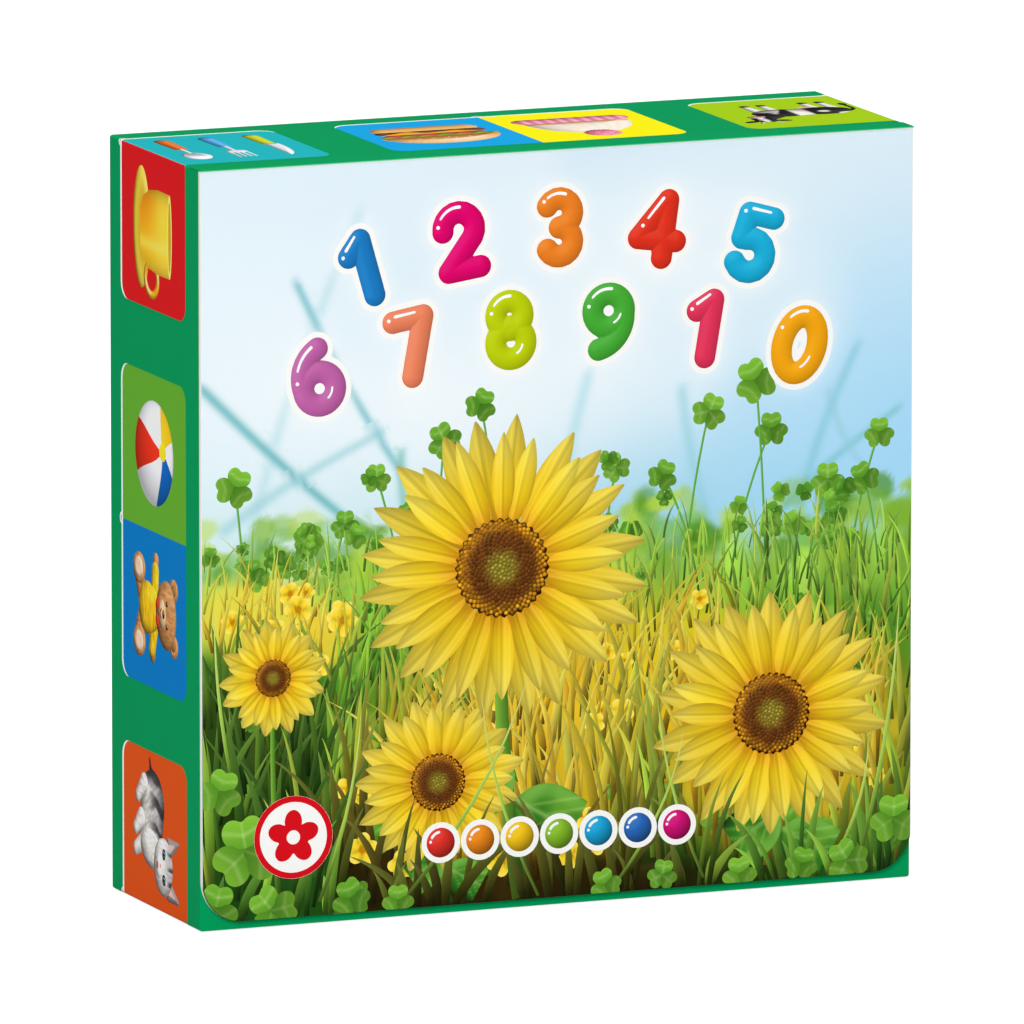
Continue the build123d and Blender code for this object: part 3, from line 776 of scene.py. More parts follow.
def kitten(p, cell):
    p.resize(1.06)
    pale, grey, dark = "#e6e2de", "#969292", "#262426"
    tail = trail([(-0.3, 0.02), (-0.4, 0.0), (-0.47, -0.1), (-0.55, -0.12)], 0.05, 0.012)
    p.fill(tail, lit(tail, dark, 0.04), cell, (-0.65, 0.0, -0.3, 0.3))
    body = meld(0.1, egg(-0.2, -0.06, 0.27, 0.25, 6), egg(0.05, -0.1, 0.22, 0.24))

    def coat(x, y):
        made = mix(pale, grey, smooth(-0.24, 0.12, y + 0.05 * np.sin(9 * x)))
        bands = ripple(34 * x + 4 * noise(x, y, 0.12, 5) - 6 * y)
        made = mix(made, dark, 0.85 * smooth(-0.2, 0.08, y) * smooth(0.45, 0.85, bands))
        made = mix(made, dark, 0.6 * smooth(0.04, 0.16, y))
        return mix(made, dark, 0.8 * smooth(-0.3, -0.44, x))

    p.pelt(body, cell, coat, 0.16, 0.4, -60)
    for paw in ((-0.34, -0.24, -0.22, -0.37), (-0.06, -0.3, 0.04, -0.42), (0.12, -0.26, 0.2, -0.42)):
        p.pelt(bar(*paw, 0.08, 0.055), cell, pale, 0.06, 0.2, 80)
    p.pelt(egg(0.15, -0.1, 0.15, 0.22, -12), cell, pale, 0.1, 0.25, 80)
    for s in (-1, 1):
        x = 0.25 + 0.15 * s
        ear = grown(poly((x - 0.085, 0.26), (x + 0.08 * s, 0.49), (x + 0.085, 0.26)), 0.014)
        p.swell(ear, cell, grey, 0.05)
        inner = poly((x - 0.045, 0.27), (x + 0.065 * s, 0.435), (x + 0.045, 0.27))
        p.fill(inner, fade("#e4b4a8", "#cfaea4", 0.26, 0.42), cell)
    head = meld(0.06, egg(0.25, 0.19, 0.225, 0.175), egg(0.25, 0.1, 0.19, 0.13))

    def face(x, y):
        made = mix("#eeeae6", "#b4b0b0", smooth(0.14, 0.34, y))
        bands = ripple(54 * (x - 0.25), np.cos)
        return mix(made, dark, 0.8 * smooth(0.23, 0.32, y) * smooth(0.62, 0.9, bands))

    p.pelt(head, cell, face, 0.11, 0.22, 90)
    p.swell(egg(0.25, 0.08, 0.1, 0.065), cell, "#f7f4f0", 0.04)
    p.fill(poly((0.225, 0.115), (0.275, 0.115), (0.25, 0.088)), "#d07a72", cell * 0.5)
    p.fill(egg(0.25, 0.045, 0.032, 0.018), "#c8504c", cell * 0.5)
    for s in (-1, 1):
        p.fill(egg(0.25 + 0.1 * s, 0.18, 0.045, 0.034, 8 * s), "#242224", cell * 0.5)
        p.swell(disc(0.25 + 0.1 * s, 0.18, 0.027), cell * 0.5, "#4f7f98", 0.02, gloss=0.5)
        p.fill(egg(0.25 + 0.1 * s, 0.18, 0.01, 0.021), "#101214", cell * 0.4)


def cutlery(p, cell):
    steel, shade = "#e2e6ea", "#30363c"
    p.resize(1.16)
    for x, code in ((0.33, "#e46a1c"), (0.0, "#4aa6e6"), (-0.33, "#c8d21a")):
        p.swell(bar(x, -0.42, x, -0.06, 0.06, 0.05), cell, code, 0.05, gloss=0.35)
    spoon = join(bar(0.33, -0.06, 0.33, 0.14, 0.016), egg(0.33, 0.27, 0.1, 0.15))
    p.swell(spoon, cell * 0.8, steel, 0.03, gloss=0.8, dim=shade)
    p.fill(egg(0.33, 0.27, 0.072, 0.12), fade("#8d959e", "#ffffff", 0.15, 0.36), cell * 0.8)
    fork = join(bar(0.0, -0.06, 0.0, 0.14, 0.016), egg(0.0, 0.17, 0.075, 0.06))
    tines = [bar(x, 0.17, x, 0.41, 0.013, 0.008) for x in (-0.06, -0.02, 0.02, 0.06)]
    fork = join(fork, *tines)
    p.swell(fork, cell * 0.7, steel, 0.02, gloss=0.8, dim=shade)
    knife = both(egg(-0.3, 0.0, 0.1, 0.44), lambda x, y: -0.06 - y, lambda x, y: x + 0.3)
    p.swell(knife, cell * 0.8, steel, 0.03, gloss=0.8, dim=shade)


def burger(p, cell):
    p.resize(1.15, dy=-0.02)
    p.swell(grown(bar(-0.3, -0.25, 0.3, -0.25, 0.085), 0.02), cell, "#eeb56c", 0.09, 0.3, dim="#7a3c08")
    meat = bar(-0.36, -0.12, 0.36, -0.12, 0.06)

    def seared(x, y):
        return mix("#6a3a1c", "#8f5a2e", noise(x, y, 0.03, 8))

    p.swell(meat, cell, seared, 0.06)
    cheese = [(-0.4, -0.05), (0.4, -0.05), (0.3, -0.1), (0.16, -0.17), (0.04, -0.08), (-0.2, -0.14)]
    p.fill(poly(*cheese, (-0.3, -0.07)), fade("#e08f12", "#f6b51e", -0.17, -0.03), cell)
    p.swell(bar(-0.35, -0.01, 0.35, -0.01, 0.035), cell, "#cf2a1a", 0.035, gloss=0.3)

    def frill(x, y):
        return np.abs(y - 0.045 - 0.018 * np.sin(46 * x)) - 0.032 + 0.4 * np.maximum(np.abs(x) - 0.4, 0)

    p.swell(frill, cell, "#86b52a", 0.03)
    bun = both(egg(0, 0.07, 0.43, 0.31), lambda x, y: 0.07 - y)
    glow = fade("#e89c48", "#f6c888", 0.05, 0.3)
    p.fill(grown(bun, 0.01), lit(bun, glow, 0.25, 0.3, gloss=0.45, dim="#8a4a10"), cell)
    seeds = 22
    for k in range(seeds):
        a = 2.399 * k
        r = 0.3 * math.sqrt((k + 0.5) / seeds)
        x, y = r * math.cos(a), 0.24 + 0.36 * r * math.sin(a)
        near = (x - 0.03, x + 0.03, y - 0.03, y + 0.03)
        p.fill(egg(x, y, 0.014, 0.008, 40 * k), "#f4e2b4", cell * 0.5, near)
        p.layer -= 1
    p.layer += 1


def hat(p, cell):
    p.resize(1.2, dy=-0.08)
    crown = both(egg(0, -0.14, 0.37, 0.5), lambda x, y: -0.16 - y)

    def knit(x, y):
        ribs = ripple(64 * x / np.sqrt(np.clip(1 - ((y + 0.14) / 0.5) ** 2, 0.1, 1)))
        made = mix("#fbf0e0", "#ecd2b4", 0.55 * ripple(78 * y) * ribs)
        return mix(made, "#f2a25e", 0.8 * smooth(-0.02, -0.08, y))

    p.fill(grown(crown, 0.01), lit(crown, knit, 0.2, 0.3, dim="#a87a50"), cell)
    cuff = bar(-0.33, -0.2, 0.33, -0.2, 0.095)

    def ribbed(x, y):
        return mix("#f8b2c4", "#e06c92", ripple(72 * x))

    p.swell(cuff, cell, ribbed, 0.09, 0.3, dim="#a03a5c")
    tuft = disc(0, 0.4, 0.13)
    woolly = furry(lit(tuft, "#f48aa2", 0.12, 0.3, dim="#a02a4c"), 0.35, 0.04, 0.012, 30)
    p.fill(lambda x, y: tuft(x, y) + 0.012 * np.sin(26 * np.arctan2(y - 0.4, x)), woolly, cell)


def cow(p, cell):
    p.resize(1.14, dx=-0.05)
    black, white = "#242022", "#f1eeea"
    tail = trail([(-0.4, 0.06), (-0.455, -0.02), (-0.45, -0.2)], 0.016)
    p.fill(tail, black, cell)
    p.fill(egg(-0.45, -0.23, 0.03, 0.055), black, cell)

    def hide(x, y):
        patches = smooth(0.38, 0.44, noise(x + 0.3, y, 0.17, 21) + 0.16 * np.sin(7 * x + 1))
        return mix(white, black, patches * smooth(0.05, 0.08, np.abs(x + 0.03)))

    for x in (-0.33, -0.2, 0.12, 0.25):
        leg = join(bar(x, -0.1, x + 0.012, -0.34, 0.048, 0.03), bar(x, -0.36, x + 0.012, -0.37, 0.034))
        p.swell(leg, cell, over(white, lambda px, py: py + 0.34, black), 0.04)
    body = meld(0.08, egg(-0.2, 0.0, 0.22, 0.16), egg(0.12, 0.0, 0.22, 0.165))
    p.fill(egg(-0.14, -0.16, 0.07, 0.05), "#e8a8a4", cell)
    p.swell(body, cell, hide, 0.14, dim="#3a3634")
    p.swell(bar(0.2, 0.06, 0.34, 0.2, 0.11, 0.09), cell, hide, 0.09, dim="#3a3634")
    for s in (-1, 1):
        p.swell(egg(0.35 + 0.12 * s, 0.31, 0.065, 0.034, 18 * s), cell, black, 0.03)
        p.swell(bar(0.35 + 0.055 * s, 0.35, 0.35 + 0.085 * s, 0.41, 0.02, 0.008), cell, "#d9c9a8", 0.02)
    head = meld(0.05, egg(0.35, 0.27, 0.085, 0.09), egg(0.36, 0.16, 0.062, 0.07))
    blaze = egg(0.355, 0.24, 0.03, 0.12)
    p.fill(head, over(lit(head, black, 0.07), blaze, lit(head, white, 0.07), 0.008), cell)
    p.swell(egg(0.362, 0.115, 0.07, 0.045), cell, "#e3a8a0", 0.04)
    for s in (-1, 1):
        p.fill(disc(0.362 + 0.028 * s, 0.118, 0.01), "#6a3a38", cell * 0.5)
        p.swell(disc(0.35 + 0.055 * s, 0.265, 0.014), cell * 0.5, "#0c0a0a", 0.01, gloss=0.9)


def sun(p, cell):
    def rays(x, y):
        a, r = np.arctan2(y, x), np.hypot(x, y)
        return (r - 0.375 - 0.065 * np.cos(12 * a)) * 0.7

    p.swell(rays, cell, fade("#f7b51a", "#fbd92e"), 0.05)
    p.swell(disc(0, 0, 0.27), cell, "#f6961a", 0.2, gloss=0.4, dim="#8a3a04")
    for s in (-1, 1):
        p.fill(egg(0.09 * s, 0.05, 0.022, 0.034), "#4a2008", cell * 0.6)
        p.fill(disc(0.16 * s, -0.05, 0.035), "#ea6a2a", cell)
    p.fill(trail(arc(0, -0.02, 0.1, 205, 130), 0.014), "#8a3206", cell * 0.7)


def fish(p, cell):
    tail = meld(0.03, *(poly((0.16, 0.0), (0.42, tip), (0.36, 0.0)) for tip in (0.22, -0.22)))
    p.swell(tail, cell, fade("#d8481a", "#f59a2a", 0.2, 0.44, True), 0.04)
    p.fill(poly((-0.18, 0.16), (0.1, 0.3), (0.12, 0.12)), "#f08a24", cell)
    body = egg(-0.09, 0, 0.33, 0.215)

    def scales(x, y):
        ring = 0.5 + 0.5 * np.sin(52 * x) * np.sin(52 * y)
        made = mix("#ef6f1c", "#f79c3a", ring)
        bands = smooth(0.045, 0.03, np.abs(x + 0.16 - 0.35 * y * y))
        bands = bands + smooth(0.05, 0.035, np.abs(x - 0.07))
        return mix(made, "#fbf4e8", np.clip(bands, 0, 1))

    p.swell(body, cell, scales, 0.17, gloss=0.35, dim="#7c2204")
    p.swell(egg(-0.03, -0.06, 0.085, 0.04, -25), cell, "#f9a13c", 0.03)
    p.fill(disc(-0.28, 0.055, 0.046), "#fbfaf4", cell * 0.6)
    p.swell(disc(-0.288, 0.055, 0.026), cell * 0.6, "#14100e", 0.02, gloss=0.9)
    p.fill(trail(arc(-0.4, -0.02, 0.06, 270, 70), 0.008), "#7c2204", cell * 0.6)


def car(p, cell):
    roof = grown(poly((-0.24, 0.1), (-0.14, 0.26), (0.12, 0.26), (0.24, 0.1)), 0.03)
    body = poly((-0.4, -0.1), (-0.4, 0.04), (-0.26, 0.1), (0.28, 0.1), (0.41, 0.02), (0.41, -0.1))
    p.swell(join(grown(body, 0.03), roof), cell, "#d3211e", 0.1, gloss=0.5, dim="#3c0404")
    glass = grown(poly((-0.18, 0.12), (-0.11, 0.22), (-0.03, 0.22), (-0.03, 0.12)), 0.01)
    more = grown(poly((0.02, 0.12), (0.02, 0.22), (0.1, 0.22), (0.18, 0.12)), 0.01)
    p.fill(join(glass, more), fade("#7fb7d8", "#dff0f8", 0.1, 0.24), cell)
    p.fill(bar(-0.4, -0.11, 0.41, -0.11, 0.018), "#8d9298", cell)
    p.swell(disc(-0.4, 0, 0.03), cell * 0.7, "#f6e6a4", 0.03)
    for x in (-0.23, 0.24):
        p.swell(disc(x, -0.14, 0.11), cell, "#2a2a2c", 0.04)
        p.swell(disc(x, -0.14, 0.055), cell * 0.8, "#d4d8dc", 0.05, gloss=0.6)


def house(p, cell):
    p.fill(rectangle(0.12, 0.16, 0.22, 0.4), "#8c4430", cell)

    def plaster(x, y):
        return mix("#f7efdc", "#dccdb0", smooth(-0.3, 0.5, x) + 0.15 * noise(x, y, 0.03, 4))

    p.fill(rectangle(-0.3, -0.38, 0.3, 0.08), plaster, cell)

    def tiles(x, y):
        joint = ripple(70 * x + 3.14 * np.floor(90 * y / 6.28))
        return mix("#6e7e90", "#3c4856", 0.6 * np.maximum(ripple(90 * y) ** 4, joint**8))

    p.fill(poly((-0.42, 0.06), (0, 0.42), (0.42, 0.06)), tiles, cell)
    door = grown(rectangle(-0.03, -0.38, 0.13, -0.12), 0.005)
    p.fill(both(door, lambda x, y: -0.38 - y), fade("#0c4f8e", "#1670b8", -0.38, -0.1), cell)
    p.fill(disc(0.1, -0.25, 0.014), "#e6c23a", cell * 0.6)
    window = -0.17
    p.fill(rectangle(window - 0.08, -0.2, window + 0.08, -0.03), "#7a4a2c", cell)
    for s in (-1, 1):
        for t in (-1, 1):
            x, y = window + 0.037 * s, -0.115 + 0.04 * t
            pane = rectangle(x - 0.03, y - 0.032, x + 0.03, y + 0.032)
            p.fill(pane, fade("#f0c43a", "#fae79a", -0.2, 0.0), cell * 0.7)
            p.layer -= 1
    p.layer += 1


def tree(p, cell):
    boughs = bar(0, -0.1, 0.12, 0.04, 0.025), bar(0, -0.06, -0.12, 0.06, 0.025)
    p.pelt(join(bar(0, -0.38, 0, 0.0, 0.06, 0.045), *boughs), cell, "#7c4a26", 0.05, 0.4, 90)
    crown = meld(0.03, disc(0, 0.22, 0.2), *(disc(x, 0.06, 0.17) for x in (-0.19, 0.19, 0)))

    def edge(x, y):
        return crown(x, y) + 0.012 * np.sin(46 * x) * np.sin(46 * y)

    def leaves(x, y):
        made = mix("#4c8f26", "#86bf3a", noise(x, y, 0.035, 12))
        return mix(made, "#255c18", 0.6 * smooth(0.55, 0.8, noise(x, y, 0.06, 13)))

    p.fill(edge, lit(crown, leaves, 0.16, dim="#12300a"), cell)
    for x, y in ((-0.2, 0.08), (-0.06, 0.0), (0.12, 0.06), (0.24, 0.02), (0.03, 0.26), (-0.1, 0.24)):
        p.swell(disc(x, y, 0.038), cell * 0.7, "#d4261c", 0.04, gloss=0.6)
        p.layer -= 1
    p.layer += 1


def apple(p, cell):
    body = meld(0.05, egg(-0.12, -0.06, 0.22, 0.3, 6), egg(0.12, -0.06, 0.22, 0.3, -6))

    def skin(x, y):
        made = mix("#c4161c", "#e2512a", noise(x * 3.2, y, 0.12, 31))
        return mix(made, "#e9b93a", 0.6 * smooth(0.12, 0.26, y) * smooth(0.3, 0.05, np.abs(x)))

    p.swell(body, cell, skin, 0.22, gloss=0.6, dim="#3c0404")
    p.fill(egg(0, 0.205, 0.09, 0.03), fade("#7a2410", "#a5461a", 0.18, 0.24), cell)
    p.swell(trail([(0, 0.2), (0.01, 0.29), (0.05, 0.37)], 0.017, 0.022), cell * 0.7, "#6a4022", 0.02)
    leaf = both(disc(0.22, 0.2, 0.2), disc(0.14, 0.42, 0.2))
    vein = bar(0.05, 0.29, 0.33, 0.34, 0.005)
    p.fill(leaf, over(lit(leaf, "#5c9e2c", 0.06), vein, "#a8cf6a"), cell * 0.8)


def boat(p, cell):
    def water(x, y):
        depth = np.maximum(y + 0.27 - 0.012 * np.sin(30 * x), -0.4 - y)
        return depth + 2 * np.maximum(np.abs(x) - 0.45, 0)

    p.swell(bar(-0.01, -0.1, -0.01, 0.42, 0.013), cell * 0.7, "#8a5a30", 0.013)
    p.swell(poly((-0.05, -0.04), (-0.05, 0.34), (-0.31, -0.04)), cell, fade("#c4161c", "#ea5a3a"), 0.12)
    p.swell(poly((0.04, -0.04), (0.04, 0.4), (0.36, -0.04)), cell, fade("#dfe6ea", "#ffffff"), 0.12)
    hull = both(egg(0, -0.09, 0.42, 0.26), lambda x, y: y + 0.09)
    stripe = both(hull, lambda x, y: -0.15 - y)
    planks = furry("#95602f", 0.3, 0.2, 0.02)
    p.fill(hull, over(lit(hull, planks, 0.12), stripe, "#f4f0e6", 0.006), cell)
    p.fill(water, fade("#1c6ca4", "#8fd0e8", -0.4, -0.26), cell)


def flower(p, cell):
    for k in range(6):
        a = math.radians(60 * k + 30)
        leaf = egg(0.26 * math.cos(a), 0.26 * math.sin(a), 0.17, 0.125, 60 * k + 30)

        def petal(x, y, a=a):
            far = np.hypot(x, y)
            made = mix("#d8447e", "#f6a6c4", smooth(0.1, 0.4, far))
            ray = ripple(34 * (np.arctan2(y, x) - a))
            return mix(made, "#fbd4e2", 0.4 * ray * smooth(0.42, 0.2, far))

        p.swell(leaf, cell, petal, 0.08, dim="#6a1034")
    p.swell(disc(0, 0, 0.13), cell, "#f4b81c", 0.1, dim="#8a4a04")


# The print on the tray's four sides: open pages with a picture each

SIDES = {
    "top": ((0, Y_BAND, HEIGHT), (-1, 0, 0)),
    "left": ((-X_SIDE, Y_BAND, HEIGHT / 2), (0, 0, -1)),
    "bottom": ((0, Y_BAND, 0), (1, 0, 0)),
    "right": ((X_SIDE, Y_BAND, HEIGHT / 2), (0, 0, 1)),
}
RED, LEAF, BLUE, BURNT = "#c9181c", "#5ea02e", "#0272b6", "#cf4e16"
SKY_BLUE, YELLOW, TEAL, LIME = "#12a3e2", "#fdee0c", "#20b2ba", "#a4cc12"
SIDE_PAGES = {
    "top": [(LIME, cow), (YELLOW, hat), (SKY_BLUE, burger), (TEAL, cutlery)],
    "left": [(RED, cup), (LEAF, ball), (BLUE, teddy), (BURNT, kitten)],
    "bottom": [(SKY_BLUE, sun), (YELLOW, car), (TEAL, boat), (LIME, flower)],
    "right": [(RED, house), (BURNT, tree), (YELLOW, apple), (BLUE, fish)],
}
# The sides' and labels' print lies this far from the card's face and is this thick
PAGE_LEVEL, PAGE_FILM = -0.04, 0.055
# Cells of the pictures on the sides that the camera sees and on the others
FINE, COARSE = 0.35, 0.58
FOLD_CELL = 0.14
# The upright sides get less light than the top, so their print is painted brighter to make up for that
# shade
SIDE_GAIN, TOP_GAIN = 1.12, 1.03


def page_columns(spine, fore):
    """Places across a page, close together at its fold and at its round corners."""
    way = 1 if fore > spine else -1
    turns = np.radians(np.linspace(0, 90, 9))
    corner = fore - way * PAGE_CORNER + way * PAGE_CORNER * np.sin(turns)
    bend = spine + way * np.array([0.0, 0.1, 0.2, 0.3, 0.4, 0.6, 4.0])
    xs = np.concatenate([bend, np.linspace(spine + way * 8, fore - way * (PAGE_CORNER + 1), 4), corner])
    return xs if way > 0 else xs[::-1]


def page_edge(fore, way):
    def low(x):
        over_corner = np.clip((x - fore) * way + PAGE_CORNER, 0, PAGE_CORNER)
        return -PAGE_HEIGHT / 2 + PAGE_CORNER - np.sqrt(np.maximum(PAGE_CORNER**2 - over_corner**2, 0))

    return low


def print_sides():
    p = Print(None, PAGE_LEVEL)
    for side, (origin, right) in SIDES.items():
        p.surface = folded_side(origin, right, (0, -1, 0), HEIGHT)
        # painted light: the print's colours are made brighter on the upright sides to offset their
        # shade
        p.gain = SIDE_GAIN if side in ("left", "right") else TOP_GAIN
        end = HEIGHT / 2 - FOLD_RADIUS + FOLD_RADIUS * math.pi / 4
        cell = FINE if side in ("top", "left") else COARSE
        spines = ((-end, -HEIGHT / 2 + PAGE_WIDTH), (0, -PAGE_WIDTH), (0, PAGE_WIDTH),
                  (end, HEIGHT / 2 - PAGE_WIDTH))
        for (spine, fore), (code, picture) in zip(spines, SIDE_PAGES[side]):
            way = 1 if fore > spine else -1
            xs = page_columns(spine, fore)
            low = page_edge(fore, way)
            p.aim(0, 0, 1)
            p.layer = 0
            foot = -PAGE_HEIGHT / 2
            reach = (spine - 2, spine + 2, foot - 2, foot + 1)
            folds = ((0.35, SPINE_BUMP, "#dfe2da"), (0.3, SPINE_BUMP - 0.4, "#7d7e77"))
            for down, radius, shade in folds:
                half = both(disc(spine, foot - down, radius), lambda x, y: (spine - x) * way)
                p.fill(half, shade, FOLD_CELL, reach)
            p.strip(xs, lambda x: low(x) - PAGE_EDGE, lambda x: low(x) + 0.4, 1, "#f4f1ea")
            p.strip(xs, low, lambda x: -low(x), 1, code)
            middle = (np.sign(spine) * HEIGHT / 2 if spine else 0) + way * PAGE_WIDTH / 2
            picture(p.aim(middle, 0, PAGE_PICTURE), cell)
    replaced = [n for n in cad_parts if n.startswith("side_print_")]
    p.piece("side_print", "box", "ink_white", PAGE_FILM, replaced)


# The books' pictures and colours, the front ones first
BOOKS = {
    "cup": (cup, "#cc1c20"),
    "ball": (ball, "#5c9e2c"),
    "sun": (sun, "#0a6eb4"),
    "fish": (fish, "#20b0ba"),
    "boat": (boat, "#e0601c"),
    "house": (house, "#fbd91c"),
    "apple": (apple, "#14a0dc"),
    "car": (car, "#a6ce20"),
}
FRONT_BOOKS = 4


def print_labels():
    """The labels on the books' fronts. The four that lie behind get coarser pictures."""
    p = Print(None, PAGE_LEVEL)
    for k, (name, (picture, code)) in enumerate(BOOKS.items()):
        low, high = (np.array(c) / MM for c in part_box(name + "_book_cover"))
        x = (low[0] + high[0]) / 2 + CREASE_OFFSET / 2
        z = (low[2] + high[2]) / 2
        p.surface = flat_surface((x, low[1], z), (1, 0, 0), (0, 0, 1))
        p.layer = 0
        half = LABEL_SIZE / 2 - LABEL_CORNER
        label = grown(rectangle(-half, -half, half, half), LABEL_CORNER)
        reach = (-24, 24, -24, 24)
        p.aim(0, 0, 1).fill(label, "#f7f6f0", 1.5, reach)
        p.fill(hoop(grown(label, -1.6), 0.35), code, 0.5, reach)
        picture(p.aim(0, 0, LABEL_PICTURE), 0.62 if k < FRONT_BOOKS else 1.0)
    replaced = [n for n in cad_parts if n.startswith("book_print_")]
    p.piece("book_labels", "box", "ink_white", PAGE_FILM, replaced)


# The front's print

FRONT = flat_surface((0, Y_FRONT, 0), (1, 0, 0), (0, 0, 1))
# How far the front's sheet lies from its face, and how thick the sheet and the shapes on it are
FRONT_LEVEL, SHEET_FILM, SHAPE_FILM = -0.0985, 0.01, 0.004
CUT_LINE = 0.12  # bare white board along the flap's cut edges
RIGHT_END = FLAP_HIGH[0] - CUT_LINE
FOOT, TOP = FLAP_LOW[2], FLAP_HIGH[2] - 0.1
HORIZON = 60.0
# Each flower's place, radius and number of petals
FLOWERS = [
    (-54.8, 45.0, 11.0, 13),
    (-23.29, 24.0, 17.0, 15),
    (41.1, 32.0, 24.0, 18),
    (-10.96, 62.0, 29.0, 20),
]
BADGE_X, BADGE_Z, BADGE_RADIUS = -51.0, 16.0, 7.5
BEAD_Z, BEAD_PITCH, BEAD_RADIUS = 13.0, 7.6, 2.7
TOP_ROW = ((1, "#1c7ec6"), (2, "#e5056e"), (3, "#f08224"), (4, "#e5331f"), (5, "#1ab0dc"))
LOW_ROW = (
    (6, "#c263a8"),
    (7, "#f0845e"),
    (8, "#bfd20a"),
    (9, "#46ae36"),
    (1, "#e6355a"),
    (0, "#f8a912"),
)
# The digits' two rows, each with its height and the radius of its bend
ROWS = ((TOP_ROW, HEIGHT - 21.5, 130.0), (LOW_ROW, HEIGHT - 39.0, 160.0))
DIGIT_PITCH = 18.0


def flap_foot(x):
    """The flap's lower edge, with its round corners."""
    d = np.clip(np.abs(x) - (FLAP_HIGH[0] - FLAP_CORNER), 0, FLAP_CORNER)
    return FOOT + FLAP_CORNER - np.sqrt(np.maximum(FLAP_CORNER**2 - d**2, 0))


def oval(cx, cy, a, b):
    turns = np.linspace(0, 2 * math.pi, 33)
    return trail([(cx + a * math.cos(t), cy + b * math.sin(t)) for t in turns], 0)


SIX = join(oval(0, 0.35, 0.21, 0.21), trail(arc(0.22, 0.42, 0.43, 105, 75), 0))
# The digits' middle lines
DIGITS = {
    0: oval(0, 0.5, 0.23, 0.36),
    1: join(trail([(0.06, 0.14), (0.06, 0.86)], 0), trail([(0.06, 0.86), (-0.14, 0.7)], 0)),
    2: trail(arc(0, 0.65, 0.21, 180, -215) + [(-0.2, 0.14), (0.22, 0.14)], 0),
    3: join(trail(arc(0, 0.68, 0.18, -90, 240), 0), trail(arc(0, 0.32, 0.18, -150, 240), 0)),
    4: trail([(0.1, 0.14), (0.1, 0.86), (-0.24, 0.36), (0.26, 0.36)], 0),
    5: trail([(0.18, 0.86), (-0.16, 0.86), (-0.18, 0.54)] + arc(-0.02, 0.35, 0.21, 115, -260), 0),
    6: SIX,
    7: trail([(-0.2, 0.86), (0.2, 0.86), (-0.06, 0.14)], 0),
    8: join(oval(0, 0.67, 0.18, 0.18), oval(0, 0.33, 0.2, 0.2)),
    9: lambda x, y: SIX(-x, 1 - y),
}
# A light along each digit's upper left, then a dot that follows it
LIGHTS = {
    0: (arc(0, 0.5, 0.43, 92, 42, wide=0.7), (-0.285, 0.66)),
    1: ([(-0.15, 0.79), (0.0, 0.92)], (-0.21, 0.715)),
    2: (arc(0, 0.65, 0.275, 80, 62), (-0.265, 0.72)),
    3: (arc(0, 0.68, 0.245, 70, 58), (-0.2, 0.83)),
    4: ([(0.03, 0.88), (-0.14, 0.62)], (-0.2, 0.52)),
    5: ([(-0.12, 0.925), (0.12, 0.925)], (-0.215, 0.875)),
    6: (arc(0.22, 0.42, 0.49, 112, 40), (-0.26, 0.5)),
    7: ([(-0.16, 0.925), (0.1, 0.925)], (-0.25, 0.89)),
    8: (arc(0, 0.67, 0.245, 85, 58), (-0.235, 0.72)),
    9: (arc(0, 0.65, 0.275, 85, 58), (-0.265, 0.7)),
}
UNDER_LIGHTS = {
    0: arc(0, 0.5, 0.3, -62, 40, wide=0.62),
    6: arc(0, 0.35, 0.165, -62, 48),
    8: arc(0, 0.33, 0.155, -62, 48),
    9: arc(0, 0.65, 0.165, -62, 48),
}


def digit_places():
    """Each digit with its colour, place and turn."""
    for row, z, radius in ROWS:
        for k, (number, code) in enumerate(row):
            angle = (k - (len(row) - 1) / 2) * DIGIT_PITCH / radius
            across, up = radius * math.sin(angle), z - radius + radius * math.cos(angle)
            yield number, code, across, up, -angle


def glow_share(x, z):
    """How white the sky is round the digits."""
    nearest = np.full(np.shape(x), 1e9)
    for number, _, dx, dz, turn in digit_places():
        c, s = math.cos(-turn), math.sin(-turn)
        near = np.hypot(x - dx, z - dz - 7) < 26
        u, v = x[near] - dx, z[near] - dz
        px, py = (c * u - s * v) / DIGIT_HEIGHT, (s * u + c * v) / DIGIT_HEIGHT
        far = (DIGITS[number](px, py) - DIGIT_RADIUS) * DIGIT_HEIGHT - DIGIT_OUTLINE
        nearest[near] = np.minimum(nearest[near], far)
    return 0.35 * np.exp(-np.maximum(nearest, 0) / 1.2)


# The sheet's grid, and the leaves out of focus along its horizon
SHEET_COLUMNS, SHEET_ROWS = 146, 160
FAR_LEAVES = 110
FAR_GREENS = ("#7fb52e", "#a3c832", "#4f8f28", "#b9d94a", "#77b95a")
# Places in the meadow: middle and half sizes
GOLDEN = [
    (-58, 56, 14, 8),
    (-47, 51, 9, 6),
    (-12, 22, 29, 21),
    (-2, 44, 20, 18),
    (25, 40, 15, 15),
    (42, 27, 27, 20),
]
GOLDEN_INKS = ("#f4e14a", "#f7d53a", "#f0be20", "#f2c42a", "#f4d322", "#efb71e")
SHADY = [(-60, 31, 17, 17), (30, 1, 16, 6)]
EARTHY = [(-4, 1, 34, 10), (-35, 10, 9, 12)]


def inside(places, x, z):
    """1 within some ellipses, 0 outside and soft between."""
    far = np.min([np.hypot((x - cx) / a, (z - cz) / b) for cx, cz, a, b in places], axis=0)
    return smooth(1.3, 0.6, far)


